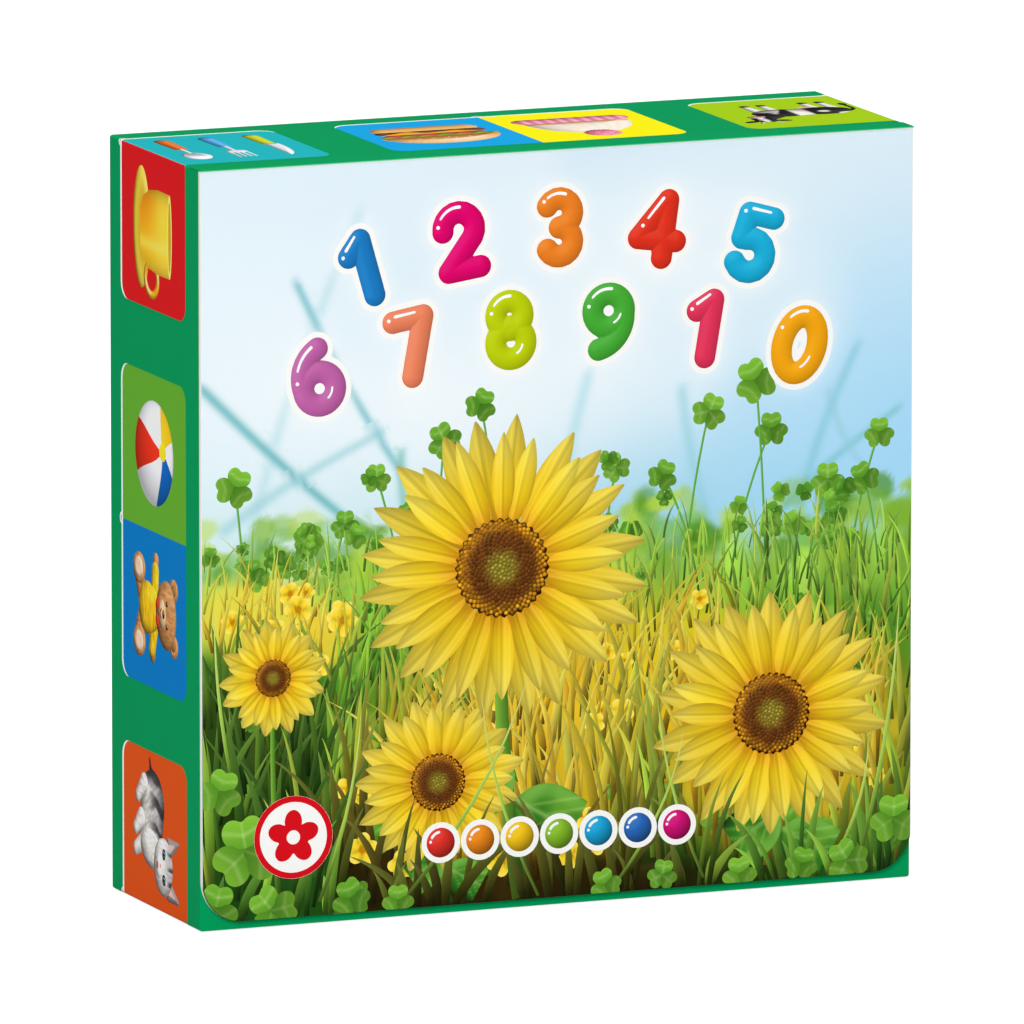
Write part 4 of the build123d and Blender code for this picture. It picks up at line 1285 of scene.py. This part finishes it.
# Stalks out of focus against the sky: both ends, width, colour and strength
STALKS = [
    (-60, 66, -38, 128, 1.1, "#b5dfe6", 0.5),
    (-68, 98, -22, 58, 0.9, "#62b2b8", 0.75),
    (-50, 116, -20, 66, 0.8, "#74bcc8", 0.7),
    (-64, 72, -34, 88, 1.0, "#8fccd4", 0.5),
    (-30, 84, -24, 58, 0.9, "#6cbcae", 0.6),
    (6, 96, 0, 56, 1.2, "#a4dbe8", 0.5),
    (58, 98, 44, 58, 1.0, "#84c8da", 0.55),
    (66, 86, 40, 66, 0.8, "#7cc4cc", 0.6),
    (24, 92, 34, 56, 1.1, "#92d0dc", 0.5),
    (64, 70, 52, 90, 0.8, "#9ad0e0", 0.5),
]


def stalk_bend(z, z0, z1):
    return 2.0 * np.sin((z - z1) / (z0 - z1 + 0.1) * 3.0)


def front_colours(x, z):
    """Summer sky over a meadow, out of focus."""
    wave = noise(x, z, 22.0, 1) * 0.6 + noise(x, z, 9.0, 2) * 0.4
    tall = (z - HORIZON) / (HEIGHT - HORIZON)
    base = mix("#d2edf0", "#9cd4ec", smooth(-60, 20, x))
    sky = mix(base, "#e2f2fb", smooth(0.0, 0.5, tall + 0.14 * (wave - 0.5)))
    sky = mix(sky, "#d6ebf8", smooth(0.62, 1.0, tall) * 0.9 * smooth(60, -10, x))
    right = smooth(-5, 70, x) * smooth(1.1, 0.25, tall)
    sky = mix(sky, "#a2dafa", 0.85 * right)
    cloud = 0.9 * np.exp(-(((x + 22) / 30) ** 2) - ((z - 92) / 15) ** 2)
    cloud = cloud + 0.8 * np.exp(-(((x - 22) / 24) ** 2) - ((z - 122) / 10) ** 2)
    cloud = cloud + 0.45 * smooth(0.5, 0.8, noise(x, z, 26.0, 4)) * smooth(0.1, 0.5, tall)
    sky = mix(sky, "#f6fcfe", np.clip(cloud, 0, 1) * 0.8)
    for x0, z0, x1, z1, width, code, share in STALKS:
        far = bar(x0, z0, x1, z1, 0.0)(x + stalk_bend(z, z0, z1), z)
        sky = mix(sky, code, share * bell(far, width))
    low = np.clip(1 - z / HORIZON, 0, 1)
    grass = mix("#8cbb42", "#4f8f24", smooth(0.0, 0.25, low))
    grass = mix(grass, "#2f6a1a", smooth(0.25, 0.6, low))
    grass = mix(grass, "#1b4612", smooth(0.6, 1.0, low))
    streak = noise(x, z * 0.22, 2.6, 6) * 0.6 + noise(x, z * 0.3, 5.5, 7) * 0.4
    grass = grass * (0.72 + 0.62 * streak)[:, None]
    grass = mix(grass, "#b7d95c", 0.55 * smooth(0.62, 0.85, noise(x, z, 4.5, 8)))
    spots = 0.6 * smooth(0.58, 0.85, noise(x, z, 6.5, 9)) * smooth(0.1, 0.5, low)
    grass = mix(grass, "#1c4712", spots)
    ragged = HORIZON + 4.0 + 6.0 * (noise(x, z * 0, 7.0, 10) - 0.4)
    ragged = ragged + 7.0 * (noise(x, z * 0, 2.4, 11) - 0.5)
    made = mix(grass, sky, smooth(-4.5, 5.5, z - ragged))
    random = np.random.RandomState(12)
    for k in range(FAR_LEAVES):
        cx, cz = random.uniform(-70, 70), HORIZON + 1 + min(abs(random.normal(0, 7)), 11)
        a, b = random.uniform(1.2, 4.6), random.uniform(1.0, 3.2)
        tilt = random.uniform(-0.6, 0.6)
        u, v = (x - cx) + tilt * (z - cz), (z - cz) - tilt * (x - cx)
        share = smooth(1.25, 0.75, np.hypot(u / a, v / b)) * random.uniform(0.35, 0.8)
        made = mix(made, FAR_GREENS[k % 5], share)
    for (cx, cz, a, b), code in zip(GOLDEN, GOLDEN_INKS):
        share = smooth(1.3, 0.55, np.hypot((x - cx) / a, (z - cz) / b) + 0.25 * (wave - 0.5))
        made = mix(made, code, 0.85 * share)
    made = mix(made, "#22300c", 0.75 * inside(SHADY, x, z))
    made = mix(made, "#241404", 0.85 * inside(EARTHY, x, z))
    return mix(made, np.ones(3), glow_share(x, z) * smooth(70, 78, z))


def off_flap(x, z):
    """How far a place lies outside the printed face."""
    half = RIGHT_END - FLAP_CORNER
    dx = np.abs(x) - half
    dz = FOOT + FLAP_CORNER - z
    corner = np.hypot(np.maximum(dx, 0), np.maximum(dz, 0)) + np.minimum(np.maximum(dx, dz), 0)
    return np.maximum(corner - FLAP_CORNER + 0.05, z - TOP + 0.05)


def keep_on_flap(points):
    """Pulls places that lie outside back on the printed face's edge."""
    points = np.array(points)
    half, round_at = RIGHT_END - 0.05, FLAP_CORNER - 0.05
    points[:, 0] = np.clip(points[:, 0], -half, half)
    points[:, 1] = np.clip(points[:, 1], FOOT + 0.05, TOP - 0.05)
    middle = half - round_at
    dx = np.abs(points[:, 0]) - middle
    dz = FOOT + 0.05 + round_at - points[:, 1]
    far = np.hypot(dx, dz)
    outside = (dx > 0) & (dz > 0) & (far > round_at)
    share = round_at / np.maximum(far, 1e-9)
    points[outside, 0] = (np.sign(points[:, 0]) * (middle + dx * share))[outside]
    points[outside, 1] = (FOOT + 0.05 + round_at - dz * share)[outside]
    return points


FRONT_PILE = Pile(half=70.0, height=140.0)


def front_print():
    return Print(FRONT, FRONT_LEVEL, FRONT_PILE, off_flap, keep_on_flap)


def print_sheet():
    p = Print(FRONT, FRONT_LEVEL)
    turns = np.radians(np.linspace(90, 0, 16))
    start = FLAP_HIGH[0] - FLAP_CORNER
    corner = np.minimum(start + FLAP_CORNER * np.sin(turns), RIGHT_END)
    corner = np.unique(np.round(corner, 4))
    xs = np.concatenate([-corner[::-1], np.linspace(-start, start, SHEET_COLUMNS)[1:-1], corner])
    p.strip(xs, flap_foot, lambda x: np.full(np.shape(x), TOP), SHEET_ROWS, front_colours)
    p.piece("front_sky_and_meadow", "flap", "ink_sky", SHEET_FILM, ["front_print_sky"])


def quadratic(a, b, c, n=8):
    """Places along a bend from a to c that leans to b."""
    t = np.linspace(0, 1, n)[:, None]
    a, b, c = (np.array([v], float) for v in (a, b, c))
    return a * (1 - t) ** 2 + 2 * b * t * (1 - t) + c * t**2


def soft_stalk(p, x0, z0, x1, z1, width, code, share):
    """A narrow strip of the sky along a stalk, fine enough to show it clean."""
    t = np.linspace(-0.02, 1.02, 30)
    z = z0 + t * (z1 - z0)
    path = np.stack([x0 + t * (x1 - x0) - stalk_bend(z, z0, z1), z], 1)
    along = np.gradient(path, axis=0)
    along /= np.linalg.norm(along, axis=1, keepdims=True)
    side = np.stack([-along[:, 1], along[:, 0]], 1)
    offsets = width * np.linspace(-2.6, 2.6, 12)
    points = keep_on_flap(np.concatenate([path + side * off for off in offsets]))
    n = len(path)
    faces = []
    for row in range(len(offsets) - 1):
        a, b = row * n, (row + 1) * n
        faces += [(a + k, a + k + 1, b + k + 1, b + k) for k in range(n - 1)]
    p.add(points, faces, front_colours(points[:, 0], points[:, 1]))


def clover(p, x, z, size, turn, bright, cell=0.4):
    """Three round leaflets with a pale mark."""
    halves = egg(0.2, 0.42, 0.27, 0.32, -14), egg(-0.2, 0.42, 0.27, 0.32, 14)
    leaf = meld(0.08, *halves, egg(0, 0.19, 0.16, 0.25))
    for k in range(3):
        p.aim(x, z, size, turn + 120 * k)

        def green(px, py, k=k):
            made = mix("#2f7018", "#8fce3e", np.clip(bright * (0.5 + 0.6 * py), 0, 1))
            marks = 0.45 * bell(py - 0.36 - 0.3 * np.abs(px), 0.05) + 0.35 * bell(px, 0.02)
            return mix(made, "#c2e28a", np.clip(marks, 0, 1)) * (1.0 - 0.1 * k)

        p.fill(leaf, green, cell, (-0.6, 0.6, -0.1, 0.9), 1.15)


# Clovers that stand up into the sky: foot, top, lean and size
TALL_CLOVERS = [
    (-11, 56, 92, -4, 4.0),
    (-30, 56, 80, -5, 3.6),
    (-24, 56, 86, 2, 4.4),
    (24, 56, 88, 5, 4.4),
    (33, 56, 84, 8, 4.2),
    (40, 56, 93, -2, 5.4),
    (27, 55, 77, -7, 3.8),
    (56, 56, 82, 6, 3.8),
    (62, 56, 74, -3, 4.0),
    (-60, 56, 80, -2, 4.8),
    (-44, 56, 72, 3, 3.6),
    (8, 56, 79, 3, 3.6),
    (-52, 56, 70, 4, 3.8),
    (48, 56, 74, 4, 4.4),
]
# How many of each the meadow has
BUTTERCUPS, HORIZON_CLOVERS, GRASS_ROWS, FRONT_TUFTS = 54, 55, 26, 60
# The golden places that the buttercups take in turn
BUTTERCUP_TURNS = (0, 1, 2, 3, 4, 5, 2, 3, 5)
# Where blades of grass start, and how far they reach to the right
GRASS_START, GRASS_WIDTH = -68, 136.3
# A blade's width from its root to its tip
BLADE = np.array([0.8, 0.95, 1.0, 0.95, 0.8, 0.58, 0.32, 0.04])


def buttercup(p, x, z, size, turn):
    """A small yellow flower, seen a little from the side."""
    p.aim(x, z, size, turn)

    def yellow(px, py):
        far = np.hypot(px, py)
        made = mix("#e09a10", "#ffdc2e", smooth(0.05, 0.2, far))
        made = mix(made, "#fff08a", 0.7 * smooth(0.25, 0.48, far))
        fold = ripple(5 * np.arctan2(py, px) + math.pi, np.cos)
        return made * (1 - 0.3 * fold**3 * smooth(0.5, 0.1, far))[:, None]

    p.fill(five_petals(0.25, 0.22, 0.19), yellow, 0.5)
    p.fill(disc(0, 0, 0.11), "#c4860e", 0.4)


def print_grass():
    p = front_print()
    for stalk in STALKS:
        soft_stalk(p, *stalk)
    random = np.random.RandomState(7)
    far, mid, near, dark = "#9cca50", "#5f9f28", "#9fd43a", "#173c10"
    for k, (x, z, top, lean, size) in enumerate(TALL_CLOVERS):
        p.aim(0, 0, 1)
        stem = quadratic((x, z), (x + 0.2 * lean, (z + top) / 2), (x + lean, top))
        p.blade(stem, np.full(8, 0.42), "#7cbd4e", "#4d9440")
        clover(p, x + lean, top - 0.3, size, 25 * (k % 3 - 1), 0.75 + 0.2 * (k % 2), 0.38)
    leafy = np.random.RandomState(21)
    for _ in range(HORIZON_CLOVERS):
        x, z = leafy.uniform(-67, 67), HORIZON + 3 + abs(leafy.normal(0, 5.5))
        clover(p, x, z, leafy.uniform(1.8, 3.4), leafy.uniform(-60, 60), leafy.uniform(0.5, 1.1), 0.5)
    p.aim(0, 0, 1)
    blooms = []
    for k in range(BUTTERCUPS):
        cx, cz, a, b = GOLDEN[BUTTERCUP_TURNS[k % 9]]
        angle, share = leafy.uniform(0, 2 * math.pi), math.sqrt(leafy.rand())
        x, z = cx + a * share * math.cos(angle), cz + b * share * math.sin(angle)
        z = min(max(z, 9.0), HORIZON)
        size = leafy.uniform(0.8, 1.25) * (3.2 + 3.0 * (1 - z / HORIZON))
        if abs(x) < 65:
            row = int((HORIZON - z + 9.0) / HORIZON * GRASS_ROWS)
            blooms.append((min(row, GRASS_ROWS - 1), x, z, size * (1.5 if k % 9 < 2 else 1.0)))
    for row in range(GRASS_ROWS):
        depth = row / (GRASS_ROWS - 1)
        count = int(50 - 22 * depth)
        for k in range(count):
            x = GRASS_START + (k + random.rand()) * GRASS_WIDTH / count
            z = HORIZON + 4 - 60 * depth + random.uniform(-1.5, 1.5)
            tall = (7 + 17 * depth) * random.uniform(0.5, 1.35)
            lean = random.normal() * 0.3 * tall
            hue = mix(far, mid, smooth(0, 0.35, depth))
            pick = random.rand()
            if pick < 0.55 * (0.5 + depth):
                hue = mix(hue, dark, random.uniform(0.3, 0.55 + 0.45 * depth))
            elif pick > 0.74:
                hue = mix(hue, near, 0.75)
            if random.rand() < 0.06:
                hue = mix(hue, "#d8d24a", 0.6)
            hue = hue * random.uniform(0.85, 1.12)
            gold = mix("#e6a018", "#ffe254", random.rand())
            hue = mix(hue, gold, float(inside(GOLDEN, x, z + 0.3 * tall)) * random.uniform(0.7, 1.0))
            hue = mix(hue, "#1c3a0e", 0.62 * float(inside(SHADY, x, z + 0.2 * tall)))
            hue = mix(hue, "#3a2408", 0.8 * float(inside(EARTHY, x, z + 0.2 * tall)))
            path = quadratic((x, z), (x + 0.2 * lean, z + 0.65 * tall), (x + lean, z + tall))
            width = (0.4 + 1.15 * depth) * random.uniform(0.5, 1.3)
            tip = mix(hue, "#d4e67a", 0.35)
            root = 0.95 - 0.45 * float(smooth(0.0, 0.3, depth))
            p.blade(path, width * BLADE, hue * 1.12, hue * 0.72, tip, root)
        for _ in range(2):
            x = random.uniform(-67, 67)
            z = HORIZON - 2 - 52 * depth + random.uniform(-3, 3)
            size = (1.5 + 3.2 * depth) * random.uniform(0.7, 1.2)
            clover(p, x, z, size, random.uniform(-50, 50), random.uniform(0.25, 1.0), 0.48)
            p.aim(0, 0, 1)
        for at, x, z, size in blooms:
            if at == row:
                buttercup(p, x, z, size, 17 * row + x)
        p.aim(0, 0, 1)
    replaced = ["front_print_far_grass", "front_print_near_grass"]
    p.piece("front_grass", "flap", "ink_near_grass", SHAPE_FILM, replaced)


def lens(x0, x1, wide):
    """A pointed leaf that lies along x."""
    half, w = (x1 - x0) / 2, wide / 2
    r = (half * half + w * w) / (2 * w)
    middle = (x0 + x1) / 2
    return both(disc(middle, r - w, r), disc(middle, w - r, r))


def flower_stem(p, x, z, radius):
    foot = max(flap_foot(np.array([x]))[0] + 0.2, 1.8)
    stem = quadratic((x + 0.12 * radius, foot), (x - 0.05 * radius, z / 2), (x, z), 10)
    p.aim(0, 0, 1)
    p.blade(stem, np.linspace(0.11, 0.07, 10) * radius, "#86b83c", "#3f7422")
    leaf = meld(0.1, lens(0.02, 1.0, 0.5), egg(0.3, 0.0, 0.26, 0.25))

    def green(px, py):
        vein = bell(py, 0.018)
        for k in range(5):
            rib = bell(np.abs(py) - 0.7 * (px - 0.12 - 0.16 * k), 0.014)
            vein = np.maximum(vein, 0.7 * rib * (px > 0.12 + 0.16 * k))
        made = mix("#2f7a1e", "#69ab34", smooth(-0.25, 0.25, py + 0.1 * np.sin(20 * px)))
        return mix(made, "#b7d97c", 0.6 * vein)

    for share, turn in ((0.42, 215), (0.3, -30)):
        at = stem[0] * (1 - share) + stem[-1] * share
        p.aim(at[0], at[1], radius * 0.8, turn)
        p.swell(leaf, 0.4, green, 0.12, dim="#0c2a08")


def sunflower(p, x, z, radius, count, seed):
    """Two rings of petals round a head of small seeds."""
    random = np.random.RandomState(seed)
    cell = 0.4 if radius > 15 else 0.36
    for inner, outer, wide, first in ((0.22, 1.0, 1.28, 0.5), (0.24, 0.87, 1.12, 0.0)):
        for k in range(count):
            turn = 360 * (k + first) / count + random.uniform(-4, 4)
            reach = outer * random.uniform(0.93, 1.0)
            width = wide * 2 * math.pi * (inner + outer) / 2 / count * random.uniform(0.85, 1.0)
            bright = random.uniform(0.96, 1.06) * (0.95 if outer == 1.0 else 1.0)
            leaf = lens(inner, reach, width * 0.86)

            def petal(px, py, inner=inner, reach=reach, width=width, bright=bright):
                t = (px - inner) / (reach - inner)
                made = mix("#f2a214", "#ffd61e", smooth(0.0, 0.4, t))
                made = mix(made, "#ffec6a", 0.85 * smooth(0.3, 1.0, t))
                lines = ripple(py / width * 34, np.cos)
                made = made * (1 - 0.09 * lines * (1 - 0.5 * t))[:, None]
                made = made * (1 - 0.14 * bell(py, 0.05 * width))[:, None]
                side = np.clip(np.abs(py) / (width * 0.43) - 0.55, 0, 1)
                return np.clip(mix(made, "#d98a0c", 0.4 * side) * bright, 0, 1)

            p.aim(x, z, radius, turn)
            area = (inner - 0.02, reach + 0.02, -width, width)
            p.fill(leaf, lit(leaf, petal, 0.1, 0.15, dim="#a86008"), cell, area, 2.2)
    p.aim(x, z, radius)
    head = disc(0, 0, 0.305)

    def seeds(px, py):
        r = np.hypot(px, py) / 0.305
        made = mix("#847426", "#6a3a12", smooth(0.2, 0.55, r))
        made = mix(made, "#b06a18", smooth(0.6, 0.85, r))
        return mix(made, "#4a260a", smooth(0.88, 1.0, r))

    def ragged(px, py):
        return head(px, py) + 0.01 * np.sin(34 * np.arctan2(py, px))

    p.fill(ragged, lit(head, seeds, 0.16, 0.4, dim="#140a02"), cell)
    total = int(150 + 9 * radius)
    florets = []
    for k in range(total):
        a, t = 2.39996 * k, math.sqrt((k + 0.5) / total)
        hue = mix("#a89a34", "#6e3f16", smooth(0.15, 0.5, t))
        hue = mix(hue, "#e8a41c", smooth(0.68, 0.92, t) * random.uniform(0.4, 1.0))
        hue = hue * random.uniform(0.75, 1.1)
        r = 0.297 * t
        florets.append((r * math.cos(a), r * math.sin(a), 0.0115 + 0.003 * t, hue))
    p.dots(florets)


# Single blades in front: root, tip, bend and width
FRONT_BLADES = [
    (-30, 3, -6, 42, 6, 0.7),
    (-4, 2, -15, 40, -4, 0.6),
    (58, 3, 66, 52, 3, 0.8),
    (28, 3, 19, 36, -3, 0.6),
    (-46, 4, -38, 38, 3, 0.7),
    (10, 2, 24, 30, 5, 0.6),
    (-62, 24, -66, 58, -2, 0.7),
    (52, 2, 60, 26, 4, 0.7),
]
# Clovers in front: place, size, turn and brightness
FRONT_CLOVERS = [
    (-65, 25, 5.6, -20, 0.95),
    (-60, 14, 8.5, 10, 1.0),
    (-66, 4, 6.0, -15, 0.8),
    (-55, 3, 6.2, 40, 0.9),
    (-40, 4, 4.8, 15, 0.7),
    (-31, 3, 4.0, 0, 0.9),
    (9, 3, 4.0, 20, 0.9),
    (20, 4, 3.8, -10, 0.8),
    (35, 3, 4.4, 5, 1.0),
    (47, 4, 4.2, -15, 0.8),
    (56, 4, 5.4, 30, 0.85),
    (65, 11, 6.0, 0, 0.95),
]


def print_flowers():
    p = front_print()
    for x, z, radius, _ in FLOWERS:
        flower_stem(p, x, z, radius)
    for k, (x, z, radius, count) in enumerate(FLOWERS):
        sunflower(p, x, z, radius, count, 30 + k)
    random = np.random.RandomState(44)
    p.aim(0, 0, 1)
    for _ in range(FRONT_TUFTS):
        x = GRASS_START + random.rand() * GRASS_WIDTH
        tall = random.uniform(7, 23)
        lean = random.normal() * 0.4 * tall
        hue = mix("#1f5016", "#9ad440", random.uniform(0.05, 1.0))
        hue = mix(hue, "#40280a", 0.7 * float(inside(EARTHY, x, 1.0)))
        path = quadratic((x, 1.0), (x + 0.2 * lean, 0.65 * tall), (x + lean, tall))
        widths = random.uniform(0.8, 2.0) * BLADE
        p.blade(path, widths, hue * 1.1, hue * 0.72, mix(hue, "#d2e88a", 0.3))
    for x0, z0, x1, z1, lean, width in FRONT_BLADES:
        path = quadratic((x0, z0), ((x0 + x1) / 2 + lean, (z0 + z1) / 2), (x1, z1))
        widths = width * np.array([0.9, 1.0, 1.0, 0.95, 0.8, 0.6, 0.35, 0.05])
        p.blade(path, widths, "#b4da52", "#67a02e", "#dce284")
    for leaves in FRONT_CLOVERS:
        clover(p, *leaves)
    replaced = ["front_print_gold", "front_print_yellow", "front_print_brown"]
    p.piece("front_flowers", "flap", "ink_yellow", SHAPE_FILM, replaced)


BADGE_RED = "#d8101c"
BEAD_INKS = ("#e6332a", "#f08a1c", "#f7c81c", "#86bf2c", "#1aa6dc", "#2a6cc0", "#d8127a")
DIGIT_INKS = ("white", "blue", "magenta", "orange", "red", "sky_blue", "purple", "lime")


def print_digits():
    """The digits, the badge and the beads."""
    p = front_print()
    reach = (-0.6, 0.62, -0.3, 1.3)
    for number, code, x, z, turn in digit_places():
        line = DIGITS[number]
        p.aim(x, z, DIGIT_HEIGHT, math.degrees(turn))
        p.fill(grown(line, DIGIT_RADIUS + DIGIT_OUTLINE / DIGIT_HEIGHT), WHITE, 0.5, reach)
        body = grown(line, DIGIT_RADIUS)
        p.fill(body, lit(body, code, DIGIT_RADIUS, 0.14, dim="#3a1020"), 0.34, reach)
        light, spot = LIGHTS[number]
        marks = [trail(light, 0.02, 0.015), disc(*spot, 0.024)]
        if number in UNDER_LIGHTS:
            marks.append(trail(UNDER_LIGHTS[number], 0.013))
        p.fill(join(*marks), "#ffffff", 0.16, reach)
    p.aim(BADGE_X, BADGE_Z, 2 * BADGE_RADIUS)
    p.fill(disc(0, 0, 0.5), WHITE, 0.5)
    p.fill(hoop(disc(0, 0, 0.462), 0.036), BADGE_RED, 0.3)
    p.fill(five_petals(0.19, 0.14, 0.11, 90), BADGE_RED, 0.3)
    p.fill(disc(0, 0, 0.085), WHITE, 0.25)
    for k, code in enumerate(BEAD_INKS):
        p.aim((k - 3) * BEAD_PITCH, BEAD_Z, 2 * BEAD_RADIUS)
        p.fill(disc(0, 0, 0.5 + DIGIT_OUTLINE / (2 * BEAD_RADIUS)), WHITE, 0.35, (-0.8, 0.8, -0.8, 0.8))
        p.swell(disc(0, 0, 0.5), 0.25, code, 0.5, 0.3)
        gleam = join(trail(arc(0, 0, 0.36, 100, 50), 0.045), disc(-0.36, 0.04, 0.05))
        p.fill(gleam, "#ffffff", 0.14)
    replaced = ["front_print_" + ink for ink in DIGIT_INKS]
    p.piece("front_digits", "flap", "ink_white", SHAPE_FILM, replaced)


def make_hinge_strip():
    """Paper glued on the tray's top, folded over the front edge and down on the flap."""
    low, high = (np.array(c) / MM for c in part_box("hinge_paper"))
    thick, fold = 0.1, 0.14
    path = [(high[1], HEIGHT), ((high[1] + Y_FRONT) / 2, HEIGHT)]
    for a in np.radians(np.linspace(90, 180, 7)):
        path.append((Y_FRONT + fold + fold * math.cos(a), HEIGHT - fold + fold * math.sin(a)))
    path.append((Y_FRONT, TOP - 0.1))
    path = np.array(path)
    along = np.gradient(path, axis=0)
    along /= np.linalg.norm(along, axis=1, keepdims=True)
    inward = np.stack([-along[:, 1], along[:, 0]], 1)
    inner = path + thick * inward
    outline = np.vstack([path, inner[::-1]])
    xs = np.linspace(low[0], high[0], 30)
    n = len(outline)
    places = np.array([(x * MM, y * MM, z * MM) for x in xs for y, z in outline])
    faces = [list(range(n)), [(len(xs) - 1) * n + k for k in reversed(range(n))]]
    for i in range(len(xs) - 1):
        a, b = i * n, (i + 1) * n
        faces += [(a + k, b + k, b + (k + 1) % n, a + (k + 1) % n) for k in range(n)]
    green = smooth(HEIGHT - 0.2, HEIGHT - 0.1, places[:, 2] / MM)
    strip = inked_object("hinge_strip", places, faces, mix(WHITE, CARD_GREEN, green))
    bpy.ops.object.mode_set(mode="EDIT")
    bpy.ops.mesh.select_all(action="SELECT")
    bpy.ops.mesh.normals_make_consistent(inside=False)
    bpy.ops.object.mode_set(mode="OBJECT")
    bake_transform(strip)
    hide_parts("hinge_paper")


print_sides()
print_labels()
print_sheet()
print_grass()
print_flowers()
print_digits()
make_hinge_strip()

dress("tray", laminated_card("laminated_green_card", CARD_GREEN))
dress("tray_liner", uncoated_paper("lining_paper", "#f3f2ee"))
dress("flap_liner", uncoated_paper("lining_paper", "#f3f2ee"))
dress("flap_board", uncoated_paper("white_board", "#f6f5f2"))
dress("lip_magnets", metal("plated_magnet", "#b4b4b0", 0.3))
dress("flap_steel_discs", metal("bright_steel", "#a8a8a8", 0.25))
for name, (_, code) in BOOKS.items():
    dress(name + "_book_cover", laminated_card("laminated_" + name + "_cover", code))
    dress(name + "_book_pages", cut_board("leaf_board", "#f4f2ea"))


# Backdrop, light and camera

AZIMUTH, ELEVATION, DISTANCE, LENS = -22.0, 10.0, 3.5, 686.0
CAMERA_TARGET = (0, 0, 0.0677)
LAMP_TARGET = (0, 0, 0.0685)
FLOOR_SIZE, FLOOR_LEVEL = 30, -0.0002


def make_floor():
    bpy.ops.mesh.primitive_plane_add(size=FLOOR_SIZE, location=(0, 0, FLOOR_LEVEL))
    floor = bpy.context.object
    floor.name = "floor"

    def build(tree):
        path = add_node(tree, "ShaderNodeLightPath")
        bright = {0: path.outputs["Is Camera Ray"], 2: 0.05, 3: 0.78}
        shine = add_node(tree, "ShaderNodeMix", bright, data_type="FLOAT")
        dull = {0: path.outputs["Is Glossy Ray"], 6: (0.5, 0.5, 0.5, 1), 7: (0.03, 0.03, 0.03, 1)}
        paint = add_node(tree, "ShaderNodeMix", dull, data_type="RGBA")
        matt = add_node(tree, "ShaderNodeBsdfDiffuse", {"Color": paint.outputs[2]})
        glow = add_node(tree, "ShaderNodeEmission", {"Strength": shine.outputs[0]})
        return add_node(tree, "ShaderNodeAddShader", {0: matt.outputs[0], 1: glow.outputs[0]})

    floor.data.materials.append(material("white_backdrop", build))


def make_world():
    world = bpy.data.worlds.new("studio")
    bpy.context.scene.world = world
    world.use_nodes = True
    tree = world.node_tree
    tree.nodes.clear()
    path = add_node(tree, "ShaderNodeLightPath")
    where = add_node(tree, "ShaderNodeTexCoord")
    inputs = {0: where.outputs["Generated"], 1: (-0.3, -0.75, 0.59)}
    facing = add_node(tree, "ShaderNodeVectorMath", inputs, operation="DOT_PRODUCT")
    inputs = {"Value": facing.outputs["Value"], "From Min": -0.6, "To Min": 0.2, "To Max": 0.62}
    soft = add_node(tree, "ShaderNodeMapRange", inputs)
    inputs = {0: path.outputs["Is Glossy Ray"], 2: soft.outputs[0], 3: 0.05}
    dull = add_node(tree, "ShaderNodeMix", inputs, data_type="FLOAT")
    inputs = {0: path.outputs["Is Camera Ray"], 2: dull.outputs[0], 3: 1.0}
    strength = add_node(tree, "ShaderNodeMix", inputs, data_type="FLOAT")
    inputs = {"Color": (1, 1, 1, 1), "Strength": strength.outputs[0]}
    sky = add_node(tree, "ShaderNodeBackground", inputs)
    add_node(tree, "ShaderNodeOutputWorld", {"Surface": sky.outputs[0]})


def make_lamp(name, place, size, power):
    lamp = bpy.data.lights.new(name, "AREA")
    lamp.shape = "DISK"
    lamp.size = size
    lamp.energy = power
    made = bpy.data.objects.new(name, lamp)
    bpy.context.scene.collection.objects.link(made)
    made.location = place
    aim = Vector(LAMP_TARGET) - Vector(place)
    made.rotation_euler = aim.to_track_quat("-Z", "Y").to_euler()


def make_camera():
    camera = bpy.data.cameras.new("camera")
    camera.lens = LENS
    camera.sensor_width = 36
    camera.clip_end = 100
    made = bpy.data.objects.new("camera", camera)
    bpy.context.scene.collection.objects.link(made)
    a, e = math.radians(AZIMUTH), math.radians(ELEVATION)
    back = Vector((math.sin(a) * math.cos(e), -math.cos(a) * math.cos(e), math.sin(e)))
    made.location = Vector(CAMERA_TARGET) + back * DISTANCE
    made.rotation_euler = (-back).to_track_quat("-Z", "Y").to_euler()
    bpy.context.scene.camera = made


make_floor()
make_world()
make_lamp("key", (-0.95, -1.34, 1.0), 1.0, 20.5)
make_lamp("top", (0.1, 0.1, 1.5), 0.8, 8.2)
make_camera()

bpy.context.scene.view_settings.view_transform = "Standard"
